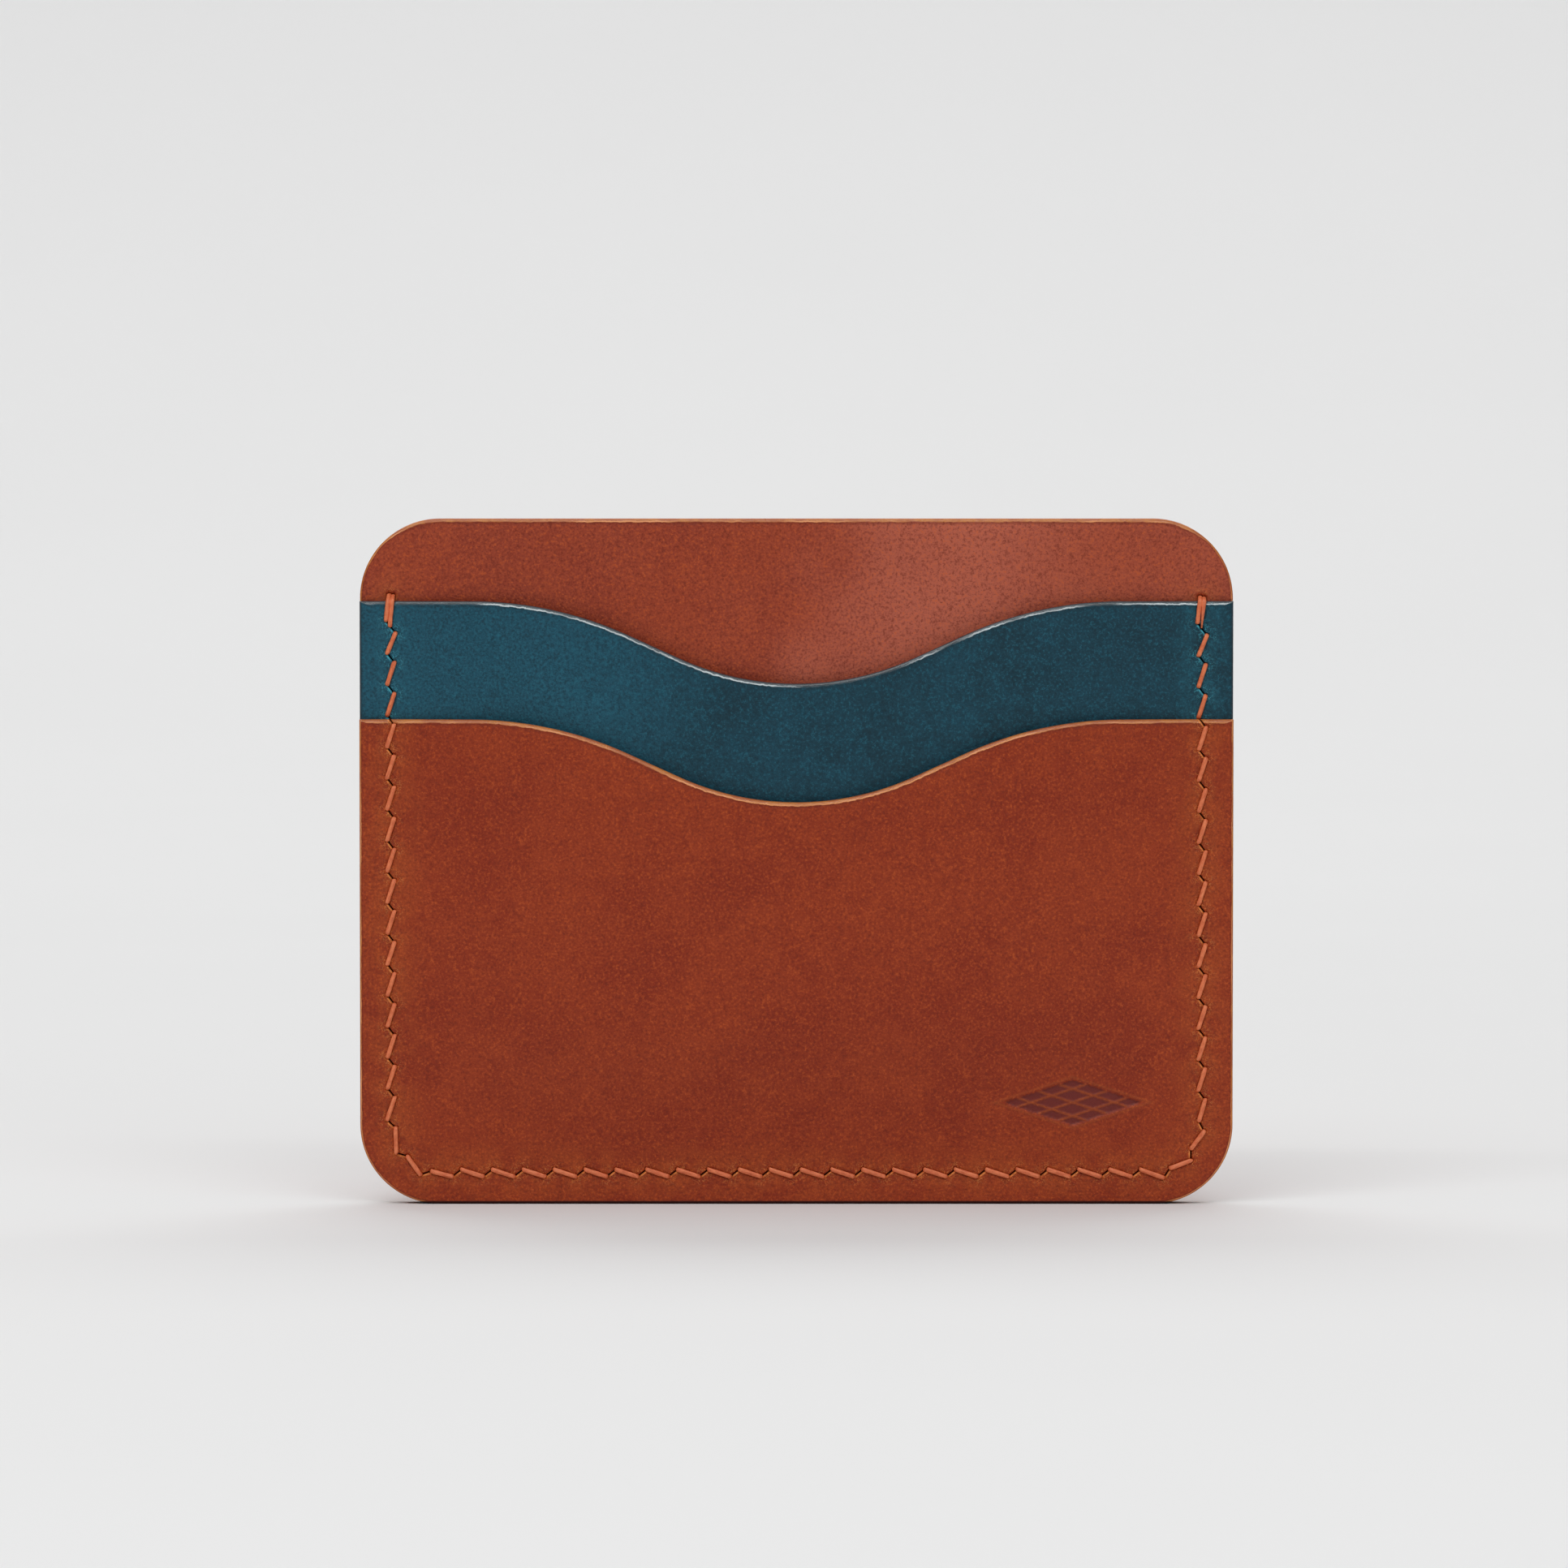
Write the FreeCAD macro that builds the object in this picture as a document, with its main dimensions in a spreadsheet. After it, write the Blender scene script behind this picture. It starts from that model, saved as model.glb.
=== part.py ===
import FreeCAD, Part
import math
import os

import Sketcher

# A sewn leather card holder: a back panel, two pocket panels and one saddle-stitched thread.
# Millimetres, +Z up, the front faces -Y. The holder stands on its bottom edge at Z = 0 and the
# origin is the middle of its footprint. Seams run down the left side, along the bottom and up the
# right side.

DRIVING = {
    "width": 95.5,
    "height": 75.0,
    "corner_radius": 8.75,
    "back_thickness": 1.2,
    "middle_thickness": 1.0,
    "front_thickness": 1.2,
    "edge_round": 0.35,
    "pocket_gap": 0.8,
    "flat_margin": 4.8,
    "ramp_width": 9.0,
    "middle_shoulder": 66.0,
    "front_shoulder": 53.1,
    "mouth_depth": 9.0,
    "crest_reach": 35.4,
    "crest_radius": 41.0,
    "dip_radius": 31.0,
    "seam_inset": 3.4,
    "side_pitch": 3.4,
    "bottom_pitch": 3.38,
    "side_stitches": 17,
    "bottom_stitches": 24,
    "left_top_hole": 66.6,
    "right_top_hole": 66.35,
    "corner_hole_reach": 43.2,
    "corner_hole_height": 5.42,
    "slit_lean": 37.4,
    "strand_spacing": 1.17,
    "wide_slit_factor": 1.35,
    "top_slit_lean": 75.0,
    "top_strand_spacing": 0.5,
    "slit_clearance": 0.04,
    "thread_size": 0.42,
    "thread_lift": 0.02,
    "thread_bend": 0.25,
}

doc = FreeCAD.newDocument("card_holder")
sheet = doc.addObject("Spreadsheet::Sheet", "Sheet")
for row, (alias, value) in enumerate(DRIVING.items(), start=1):
    sheet.set("A%d" % row, alias)
    sheet.set("B%d" % row, str(value))
    sheet.setAlias("B%d" % row, alias)
doc.recompute()


def size(alias):
    """Value of a driving dimension, read back from the sheet."""
    return float(sheet.get(alias))


def evaluate(expression):
    """Value of an expression of the sheet."""
    return float(sheet.evalExpression(expression))


# Depth planes as expressions of the sheet. The thread stands proud of the rear face by
# THREAD_STAND, and the whole depth is centred on Y = 0.
THREAD_STAND = "(Sheet.thread_size + Sheet.thread_lift)"
STACK = "(Sheet.back_thickness + Sheet.middle_thickness + Sheet.front_thickness)"
REAR_FACE = "((%s + 2 * Sheet.pocket_gap - %s) / 2)" % (STACK, THREAD_STAND)
BACK_FRONT = "(%s - Sheet.back_thickness)" % REAR_FACE
MIDDLE_FRONT = "(%s - Sheet.middle_thickness)" % BACK_FRONT

thread_radius = size("thread_size") / 2
rear_face_y = evaluate(REAR_FACE)
back_front_y = evaluate(BACK_FRONT)
middle_front_y = evaluate(MIDDLE_FRONT)
front_front_y = middle_front_y - size("front_thickness")


# ---------------------------------------------------------------- sketch helpers

def origin_plane(body, role):
    return next(item for item in body.Origin.OriginFeatures if item.Role == role)


def new_sketch(body, name, role, offset):
    """Sketch on one of the body's own origin planes, moved along its normal by an expression."""
    sketch = body.newObject("Sketcher::SketchObject", name)
    sketch.AttachmentSupport = [(origin_plane(body, role), "")]
    sketch.MapMode = "FlatFace"
    sketch.setExpression("AttachmentOffset.Base.z", offset)
    return sketch


def point(x, y):
    return FreeCAD.Vector(x, y, 0)


def add_line(sketch, start, end):
    return sketch.addGeometry(Part.LineSegment(point(*start), point(*end)))


def add_arc(sketch, centre, radius, first_angle, last_angle):
    """Arc drawn counter-clockwise between two angles in degrees."""
    circle = Part.Circle(point(*centre), FreeCAD.Vector(0, 0, 1), radius)
    return sketch.addGeometry(
        Part.ArcOfCircle(circle, math.radians(first_angle), math.radians(last_angle)))


def bind(sketch, kind, *where, to):
    """Dimension whose value is an expression of the sheet."""
    index = sketch.addConstraint(Sketcher.Constraint(kind, *where, evaluate(to)))
    sketch.setExpression("Constraints[%d]" % index, to)


def rounded_rectangle(sketch):
    """Outline of the back panel: the bottom edge on the sketch's X axis, centred on its Y axis."""
    half = size("width") / 2
    top = size("height")
    radius = size("corner_radius")
    inner = half - radius
    bottom = add_line(sketch, (-inner, 0), (inner, 0))
    low_right = add_arc(sketch, (inner, radius), radius, -90, 0)
    right = add_line(sketch, (half, radius), (half, top - radius))
    high_right = add_arc(sketch, (inner, top - radius), radius, 0, 90)
    upper = add_line(sketch, (inner, top), (-inner, top))
    high_left = add_arc(sketch, (-inner, top - radius), radius, 90, 180)
    left = add_line(sketch, (-half, top - radius), (-half, radius))
    low_left = add_arc(sketch, (-inner, radius), radius, 180, 270)
    ring = [bottom, low_right, right, high_right, upper, high_left, left, low_left]
    for index, item in enumerate(ring):
        following = ring[(index + 1) % len(ring)]
        sketch.addConstraint(Sketcher.Constraint("Tangent", item, 2, following, 1))
    for item in (bottom, upper):
        sketch.addConstraint(Sketcher.Constraint("Horizontal", item))
    for item in (right, left):
        sketch.addConstraint(Sketcher.Constraint("Vertical", item))
    for item in (low_right, high_right, high_left, low_left):
        bind(sketch, "Radius", item, to="Sheet.corner_radius")
    sketch.addConstraint(Sketcher.Constraint("PointOnObject", bottom, 1, -1))
    bind(sketch, "DistanceX", -1, 1, right, 1, to="Sheet.width / 2")
    bind(sketch, "DistanceX", left, 1, -1, 1, to="Sheet.width / 2")
    bind(sketch, "DistanceY", -1, 1, upper, 1, to="Sheet.height")


def mouth_slope():
    """Angle in degrees of the straight stretch between a crest and the dip of a pocket mouth."""
    reach = size("crest_reach")
    radii = size("crest_radius") + size("dip_radius")
    rise = radii - size("mouth_depth")
    between = math.hypot(reach, rise)
    return math.degrees(math.atan2(reach, rise) - math.acos(radii / between))


def pocket_outline(sketch, shoulder):
    """Outline of a pocket panel: two rounded lower corners and a dipped mouth at the top."""
    half = size("width") / 2
    corner = size("corner_radius")
    crest = size("crest_radius")
    dip = size("dip_radius")
    reach = size("crest_reach")
    top = size(shoulder)
    floor = top - size("mouth_depth")
    slope = mouth_slope()
    sine = math.sin(math.radians(slope))
    cosine = math.cos(math.radians(slope))
    crest_end = (reach - crest * sine, top - crest + crest * cosine)
    dip_end = (dip * sine, floor + dip - dip * cosine)
    inner = half - corner
    bottom = add_line(sketch, (-inner, 0), (inner, 0))
    low_right = add_arc(sketch, (inner, corner), corner, -90, 0)
    right = add_line(sketch, (half, corner), (half, top))
    right_shoulder = add_line(sketch, (half, top), (reach, top))
    right_crest = add_arc(sketch, (reach, top - crest), crest, 90, 90 + slope)
    right_slope = add_line(sketch, crest_end, dip_end)
    middle_dip = add_arc(sketch, (0, floor + dip), dip, 270 - slope, 270 + slope)
    left_slope = add_line(sketch, (-dip_end[0], dip_end[1]), (-crest_end[0], crest_end[1]))
    left_crest = add_arc(sketch, (-reach, top - crest), crest, 90 - slope, 90)
    left_shoulder = add_line(sketch, (-reach, top), (-half, top))
    left = add_line(sketch, (-half, top), (-half, corner))
    low_left = add_arc(sketch, (-inner, corner), corner, 180, 270)
    joins = [
        (bottom, 2, low_right, 1), (low_right, 2, right, 1),
        (right_shoulder, 2, right_crest, 1), (right_crest, 2, right_slope, 1),
        (right_slope, 2, middle_dip, 2), (middle_dip, 1, left_slope, 1),
        (left_slope, 2, left_crest, 1), (left_crest, 2, left_shoulder, 1),
        (left, 2, low_left, 1), (low_left, 2, bottom, 1),
    ]
    for first, first_end, second, second_end in joins:
        sketch.addConstraint(Sketcher.Constraint("Tangent", first, first_end, second, second_end))
    sketch.addConstraint(Sketcher.Constraint("Coincident", right, 2, right_shoulder, 1))
    sketch.addConstraint(Sketcher.Constraint("Coincident", left_shoulder, 2, left, 1))
    for item in (bottom, right_shoulder, left_shoulder):
        sketch.addConstraint(Sketcher.Constraint("Horizontal", item))
    for item in (right, left):
        sketch.addConstraint(Sketcher.Constraint("Vertical", item))
    for item in (low_right, low_left):
        bind(sketch, "Radius", item, to="Sheet.corner_radius")
    for item in (right_crest, left_crest):
        bind(sketch, "Radius", item, to="Sheet.crest_radius")
    bind(sketch, "Radius", middle_dip, to="Sheet.dip_radius")
    sketch.addConstraint(Sketcher.Constraint("PointOnObject", bottom, 1, -1))
    sketch.addConstraint(Sketcher.Constraint("PointOnObject", middle_dip, 3, -2))
    bind(sketch, "DistanceX", -1, 1, right, 1, to="Sheet.width / 2")
    bind(sketch, "DistanceX", left, 1, -1, 1, to="Sheet.width / 2")
    bind(sketch, "DistanceY", -1, 1, right_shoulder, 1, to="Sheet.%s" % shoulder)
    bind(sketch, "DistanceY", -1, 1, left_shoulder, 1, to="Sheet.%s" % shoulder)
    bind(sketch, "DistanceX", -1, 1, right_crest, 3, to="Sheet.crest_reach")
    bind(sketch, "DistanceX", left_crest, 3, -1, 1, to="Sheet.crest_reach")
    bind(sketch, "DistanceY", -1, 1, middle_dip, 3,
         to="Sheet.%s - Sheet.mouth_depth + Sheet.dip_radius" % shoulder)


def surround(sketch):
    """Rectangle well outside a panel's outline, so that a pocket removes all but the panel."""
    reach = size("width")
    top = 2 * size("height")
    low = -size("height")
    corners = [(-reach, low), (reach, low), (reach, top), (-reach, top)]
    lines = [add_line(sketch, corners[index], corners[(index + 1) % 4]) for index in range(4)]
    for index, item in enumerate(lines):
        sketch.addConstraint(Sketcher.Constraint("Coincident", item, 2, lines[(index + 1) % 4], 1))
    for item in (lines[0], lines[2]):
        sketch.addConstraint(Sketcher.Constraint("Horizontal", item))
    for item in (lines[1], lines[3]):
        sketch.addConstraint(Sketcher.Constraint("Vertical", item))
    bind(sketch, "DistanceX", -1, 1, lines[1], 1, to="Sheet.width")
    bind(sketch, "DistanceX", lines[3], 1, -1, 1, to="Sheet.width")
    bind(sketch, "DistanceY", -1, 1, lines[2], 1, to="2 * Sheet.height")
    bind(sketch, "DistanceY", lines[0], 1, -1, 1, to="Sheet.height")


def strip_section(body, name, level, rear, thickness, lift):
    """Level slice of a pocket panel before it is cut out: flat margins and a raised middle.

    rear is the expression of the panel's rear face at the margins and lift the expression of how
    far forward its middle stands there.
    """
    sketch = new_sketch(body, name, "XY_Plane", level)
    side = "Sheet.width / 2 + Sheet.flat_margin"
    ramp_foot = "Sheet.width / 2 - Sheet.flat_margin"
    ramp_head = "%s - Sheet.ramp_width" % ramp_foot
    reaches = [(side, "0"), (ramp_foot, "0"), (ramp_head, lift)]
    half_ring = [(across, "%s - (%s)" % (rear, raised)) for across, raised in reaches]
    front = [(across, "%s - Sheet.%s" % (depth, thickness)) for across, depth in half_ring]
    right = half_ring[::-1] + front
    left = front[::-1] + half_ring
    corners = [(across, depth, 1) for across, depth in right]
    corners += [(across, depth, -1) for across, depth in left]
    places = [(sign * evaluate(across), evaluate(depth)) for across, depth, sign in corners]
    count = len(places)
    lines = [add_line(sketch, places[index], places[(index + 1) % count])
             for index in range(count)]
    for index, item in enumerate(lines):
        following = lines[(index + 1) % count]
        sketch.addConstraint(Sketcher.Constraint("Coincident", item, 2, following, 1))
    for item, (across, depth, sign) in zip(lines, corners):
        ends = (-1, 1, item, 1) if sign > 0 else (item, 1, -1, 1)
        bind(sketch, "DistanceX", *ends, to=across)
        bind(sketch, "DistanceY", -1, 1, item, 1, to=depth)
    return sketch


# ---------------------------------------------------------------- leather panels

def outline_edges(shape, wanted):
    """Names of the rim edges of a panel whose middle point passes the test."""
    names = []
    for number, edge in enumerate(shape.Edges, start=1):
        middle = edge.valueAt((edge.FirstParameter + edge.LastParameter) / 2)
        tangent = edge.tangentAt((edge.FirstParameter + edge.LastParameter) / 2)
        walls = [face for face in shape.ancestorsOfType(edge, Part.Face) if is_wall(face)]
        if walls and abs(tangent.y) < 0.5 and wanted(middle):
            names.append("Edge%d" % number)
    return names


def is_wall(face):
    """Whether a face is part of a panel's cut edge, which stands square to the panel."""
    first, last, low, high = face.ParameterRange
    return abs(face.normalAt((first + last) / 2, (low + high) / 2).y) < 0.05


def round_edges(body, base, name, wanted):
    """Burnished edges: the chosen rim edges are rounded over."""
    doc.recompute()
    fillet = body.newObject("PartDesign::Fillet", name)
    fillet.Base = (base, outline_edges(base.Shape, wanted))
    fillet.setExpression("Radius", "Sheet.edge_round")
    body.Tip = fillet
    doc.recompute()
    return fillet


def make_back_panel():
    """Full-height flat panel that the pockets are sewn to."""
    body = doc.addObject("PartDesign::Body", "BackLeather")
    sketch = new_sketch(body, "BackOutline", "XZ_Plane", "-%s" % REAR_FACE)
    rounded_rectangle(sketch)
    pad = body.newObject("PartDesign::Pad", "BackPad")
    pad.Profile = sketch
    pad.setExpression("Length", "Sheet.back_thickness")
    middle_y = rear_face_y - size("back_thickness") / 2
    shoulder = size("middle_shoulder")
    round_edges(body, pad, "BackEdges",
                lambda middle: middle.y > middle_y or middle.z > shoulder)
    return body


def make_pocket_panel(name, rear, thickness, lift, shoulder, rounded):
    """Pocket panel: flat where it is sewn, with its middle standing forward to leave the pocket."""
    body = doc.addObject("PartDesign::Body", name + "Leather")
    foot = "Sheet.flat_margin"
    head = "Sheet.flat_margin + Sheet.ramp_width"
    slices = [("Base", "-Sheet.flat_margin", "0"), ("Foot", foot, "0"),
              ("Head", head, lift), ("Top", "Sheet.height", lift)]
    sections = [strip_section(body, name + label, level, rear, thickness, raised)
                for label, level, raised in slices]
    loft = body.newObject("PartDesign::AdditiveLoft", name + "Loft")
    loft.Profile = sections[0]
    loft.Sections = sections[1:]
    loft.Ruled = True
    sketch = new_sketch(body, name + "Outline", "XZ_Plane", "Sheet.width / 4")
    surround(sketch)
    pocket_outline(sketch, shoulder)
    cut = body.newObject("PartDesign::Pocket", name + "Cut")
    cut.Profile = sketch
    cut.setExpression("Length", "Sheet.width / 2")
    doc.recompute()
    round_edges(body, cut, name + "Edges", rounded)
    return body


# ---------------------------------------------------------------- seam

def side_holes(sign, top):
    """Slit centres of one side as (x, z), from the top down to the corner."""
    side_x = size("width") / 2 - size("seam_inset")
    count = int(size("side_stitches"))
    row = [(sign * side_x, top - size("side_pitch") * index) for index in range(count + 1)]
    row.append((sign * size("corner_hole_reach"), size("corner_hole_height")))
    return row


def seam_holes():
    """Slit centres as (x, z), in sewing order: down the left, along the bottom, up the right."""
    count = int(size("bottom_stitches"))
    left = side_holes(-1, size("left_top_hole"))
    right = side_holes(1, size("right_top_hole"))
    bottom = [(size("bottom_pitch") * (index - count / 2), size("seam_inset"))
              for index in range(count + 1)]
    return left + bottom + right[::-1]


def unit(vector):
    length = math.hypot(*vector)
    return (vector[0] / length, vector[1] / length)


class Slit:
    """One slanted slit of the seam: its centre, the sewing direction and its place in the row."""

    def __init__(self, holes, index):
        before = holes[max(index - 1, 0)]
        here = holes[index]
        after = holes[min(index + 1, len(holes) - 1)]
        arriving = (here[0] - before[0], here[1] - before[1])
        leaving = (after[0] - here[0], after[1] - here[1])
        steps = [unit(step) for step in (arriving, leaving) if step != (0, 0)]
        self.centre = here
        self.along = unit((sum(step[0] for step in steps), sum(step[1] for step in steps)))
        self.across = (-self.along[1], self.along[0])
        self.wide = index in (1, len(holes) - 2)
        half = size("strand_spacing") / 2 * (size("wide_slit_factor") if self.wide else 1)
        lean = math.radians(size("slit_lean"))
        if index in (0, len(holes) - 1):
            half = size("top_strand_spacing") / 2
            lean = math.radians(size("top_slit_lean"))
        self.step = (half * math.cos(lean), half * math.sin(lean))

    def at(self, along, across):
        """Point (x, z) at a distance along and across the seam from the slit's centre."""
        return (self.centre[0] + along * self.along[0] + across * self.across[0],
                self.centre[1] + along * self.along[1] + across * self.across[1])

    def near(self):
        """Strand place at the end of the slit that faces the stitch before it."""
        return self.at(-self.step[0], -self.step[1])

    def far(self):
        """Strand place at the end of the slit that faces the stitch after it."""
        return self.at(*self.step)


def slit_prism(slit):
    """Round-ended slot through every layer, as long as its strands need."""
    start = slit.near()
    end = slit.far()
    radius = thread_radius + size("slit_clearance")
    ahead = unit((end[0] - start[0], end[1] - start[1]))
    side = (-ahead[1] * radius, ahead[0] * radius)
    reach = size("width") / 4

    def place(base, sideways, forward):
        return FreeCAD.Vector(base[0] + sideways * side[0] + forward * ahead[0] * radius, reach,
                              base[1] + sideways * side[1] + forward * ahead[1] * radius)

    outline = Part.Wire([
        Part.LineSegment(place(start, 1, 0), place(end, 1, 0)).toShape(),
        Part.Arc(place(end, 1, 0), place(end, 0, 1), place(end, -1, 0)).toShape(),
        Part.LineSegment(place(end, -1, 0), place(start, -1, 0)).toShape(),
        Part.Arc(place(start, -1, 0), place(start, 0, -1), place(start, 1, 0)).toShape(),
    ])
    return Part.Face(outline).extrude(FreeCAD.Vector(0, -2 * reach, 0))


def make_slit_cutter(slits):
    cutter = doc.addObject("Part::Feature", "SlitCutter")
    cutter.Shape = Part.makeCompound([slit_prism(slit) for slit in slits])
    return cutter


def pierce(body, cutter, label):
    """The finished panel: its leather with the seam's slits cut through it."""
    panel = doc.addObject("Part::Cut", label)
    panel.Base = body
    panel.Tool = cutter
    panel.Label = label
    return panel


# ---------------------------------------------------------------- thread

# Where a rear stitch bends around the third strand of a wide slit, as distances along and across
# the seam from the slit's centre.
ROUND_THIRD_STRAND = (0.3, 0.46)
DOUBLED_STITCH_BEND = (1.1, 0.12)


def surface_y(height):
    """Front surface of the sewn margin at a height."""
    if height > size("middle_shoulder"):
        return back_front_y
    if height > size("front_shoulder"):
        return middle_front_y
    return front_front_y


def on_front(place, level=None):
    """Thread centre on the front surface at (x, z)."""
    base = surface_y(place[1]) if level is None else level
    return FreeCAD.Vector(place[0], base - thread_radius - size("thread_lift"), place[1])


def on_rear(place):
    """Thread centre on the rear surface at (x, z)."""
    return FreeCAD.Vector(place[0], rear_face_y + thread_radius + size("thread_lift"), place[1])


def over_pocket_edge(place, target):
    """Route of a top stitch from its slit above the middle panel, over that panel's edge."""
    rim = size("middle_shoulder") + size("edge_round") / 4
    if place[1] - rim < thread_radius + size("edge_round"):
        return [on_front(place, middle_front_y)]
    share = (place[1] - rim) / (place[1] - target[1])
    crossing = (place[0] + share * (target[0] - place[0]), rim)
    return [on_front(place), on_front(crossing, middle_front_y)]


def leading_half(slits):
    """Half of the thread that starts on the front, from its middle in the second slit."""
    last = len(slits) - 1
    top = slits[0].far()
    route = over_pocket_edge(top, slits[1].centre)[::-1]
    route += [on_rear(top), on_rear(slits[1].far()), on_front(slits[1].far())]
    for index in range(2, last - 1, 2):
        route += [on_front(slits[index].near()), on_rear(slits[index].near())]
        if slits[index + 1].wide:
            along, across = ROUND_THIRD_STRAND
            route.append(on_rear(slits[index + 1].at(-along, across)))
        route += [on_rear(slits[index + 1].far()), on_front(slits[index + 1].far())]
    end = slits[last].far()
    route += over_pocket_edge(end, slits[last - 1].far())[::-1]
    route += [on_rear(end), on_rear(slits[last - 1].at(*DOUBLED_STITCH_BEND))]
    route.append(on_rear(slits[last - 1].centre))
    return route


def trailing_half(slits):
    """Half of the thread that starts on the rear, from its middle in the second slit."""
    last = len(slits) - 1
    top = slits[0].near()
    along, across = DOUBLED_STITCH_BEND
    route = [on_rear(slits[1].at(-along, -across)), on_rear(top)]
    route += over_pocket_edge(top, slits[1].near())
    route += [on_front(slits[1].near()), on_rear(slits[1].near())]
    along, across = ROUND_THIRD_STRAND
    route.append(on_rear(slits[1].at(along, -across)))
    for index in range(2, last, 2):
        route += [on_rear(slits[index].far()), on_front(slits[index].far())]
        route += [on_front(slits[index + 1].near()), on_rear(slits[index + 1].near())]
    end = slits[last].near()
    route.append(on_rear(end))
    route += over_pocket_edge(end, slits[last - 1].centre)
    route.append(on_front(slits[last - 1].centre))
    return route


def rounded_wire(points, radius):
    """Straight stretches joined by arcs, each no larger than half of its shorter neighbour."""
    edges = []
    start = points[0]
    for before, corner, after in zip(points, points[1:], points[2:]):
        back = (before - corner).normalize()
        ahead = (after - corner).normalize()
        half_turn = (math.pi - back.getAngle(ahead)) / 2
        room = 0.48 * min((before - corner).Length, (after - corner).Length)
        cut = min(radius * math.tan(half_turn), room)
        bend = cut / math.tan(half_turn)
        first = corner + back * cut
        last = corner + ahead * cut
        inward = (back + ahead).normalize()
        middle = corner + inward * (bend / math.cos(half_turn) - bend)
        edges.append(Part.LineSegment(start, first).toShape())
        edges.append(Part.Arc(first, middle, last).toShape())
        start = last
    edges.append(Part.LineSegment(start, points[-1]).toShape())
    return Part.Wire(edges)


def make_thread(slits):
    """The whole thread, from its melted rear end to its melted front end, as one swept solid."""
    points = leading_half(slits)[::-1] + [on_front(slits[1].centre), on_rear(slits[1].centre)]
    points += trailing_half(slits)
    wire = rounded_wire(points, size("thread_bend"))
    direction = (points[1] - points[0]).normalize()
    circle = Part.Wire([Part.makeCircle(thread_radius, points[0], direction)])
    sweep = Part.BRepOffsetAPI.MakePipeShell(wire)
    sweep.setFrenetMode(False)
    sweep.add(circle, False, False)
    sweep.build()
    sweep.makeSolid()
    thread = doc.addObject("Part::Feature", "Thread")
    thread.Shape = sweep.shape()
    thread.Label = "thread"
    return thread


# ---------------------------------------------------------------- assembly

holes = seam_holes()
slits = [Slit(holes, index) for index in range(len(holes))]

back_body = make_back_panel()
middle_body = make_pocket_panel(
    "Middle", BACK_FRONT, "middle_thickness", "Sheet.pocket_gap", "middle_shoulder",
    lambda middle: middle.z > size("middle_shoulder") - size("mouth_depth") - 1)
front_body = make_pocket_panel(
    "Front", MIDDLE_FRONT, "front_thickness", "2 * Sheet.pocket_gap", "front_shoulder",
    lambda middle: middle.z > size("front_shoulder") - size("mouth_depth") - 1)
slit_cutter = make_slit_cutter(slits)
nodes = [
    pierce(back_body, slit_cutter, "back_panel"),
    pierce(middle_body, slit_cutter, "middle_panel"),
    pierce(front_body, slit_cutter, "front_panel"),
    make_thread(slits),
]
doc.recompute()

for item in doc.Objects:
    troubles = [state for state in item.State if state in ("Invalid", "Error")]
    if troubles:
        raise RuntimeError("%s did not recompute: %s" % (item.Label, troubles))

os.makedirs("parts", exist_ok=True)
for node in nodes:
    if node.Shape.isNull() or not node.Shape.isValid() or len(node.Shape.Solids) != 1:
        raise RuntimeError("%s is not one valid solid" % node.Label)
    node.Shape.exportStep("parts/%s.step" % node.Label)
    box = node.Shape.BoundBox
    print("%s: volume %.1f mm3, X %.2f..%.2f, Y %.2f..%.2f, Z %.2f..%.2f" % (
        node.Label, node.Shape.Volume, box.XMin, box.XMax, box.YMin, box.YMax,
        box.ZMin, box.ZMax))
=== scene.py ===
import math

import bpy
import numpy as np
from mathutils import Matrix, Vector, geometry


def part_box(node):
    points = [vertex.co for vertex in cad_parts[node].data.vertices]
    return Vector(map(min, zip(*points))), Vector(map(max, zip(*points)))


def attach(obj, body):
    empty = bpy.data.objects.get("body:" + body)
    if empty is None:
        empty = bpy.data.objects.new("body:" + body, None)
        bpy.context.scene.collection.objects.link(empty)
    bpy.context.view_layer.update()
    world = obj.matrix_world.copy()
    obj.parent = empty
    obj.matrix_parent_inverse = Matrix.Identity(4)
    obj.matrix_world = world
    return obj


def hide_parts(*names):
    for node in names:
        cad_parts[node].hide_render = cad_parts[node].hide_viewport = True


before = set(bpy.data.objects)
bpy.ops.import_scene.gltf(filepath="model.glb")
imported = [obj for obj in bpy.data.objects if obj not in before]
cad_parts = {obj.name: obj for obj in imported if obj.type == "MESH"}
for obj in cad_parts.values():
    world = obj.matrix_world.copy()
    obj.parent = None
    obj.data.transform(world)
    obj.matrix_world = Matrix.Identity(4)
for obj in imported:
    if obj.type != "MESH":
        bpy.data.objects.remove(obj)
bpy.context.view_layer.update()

# A sewn leather card holder. Lengths in this script are millimetres until a mesh is made.
# X runs across, Z up, and the front faces -Y. The three leather panels and the thread each
# replace their CAD node with a detailed mesh.

MM = 0.001


def node_box(node):
    """Lowest and highest corner of a CAD node, in millimetres."""
    low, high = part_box(node)
    return [value / MM for value in low], [value / MM for value in high]


back_low, back_high = node_box("back_panel")
middle_low, middle_high = node_box("middle_panel")
front_low, front_high = node_box("front_panel")

HALF_WIDTH = back_high[0]
HEIGHT = back_high[2]
MIDDLE_TOP = middle_high[2]
FRONT_TOP = front_high[2]
REAR_Y = back_high[1]
BACK_Y = back_low[1]
POCKET_GAP = 0.8
MIDDLE_Y = middle_low[1] + POCKET_GAP
FRONT_Y = front_low[1] + 2 * POCKET_GAP

CORNER_RADIUS = 8.75
MOUTH_DEPTH = 9.0
MOUTH_NEIGHBOURHOOD = 1.6
CREST_REACH = 35.4
CREST_RADIUS = 41.0
DIP_RADIUS = 31.0
FLAT_MARGIN = 4.8
PILLOW_RAMP = 16.0

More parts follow.
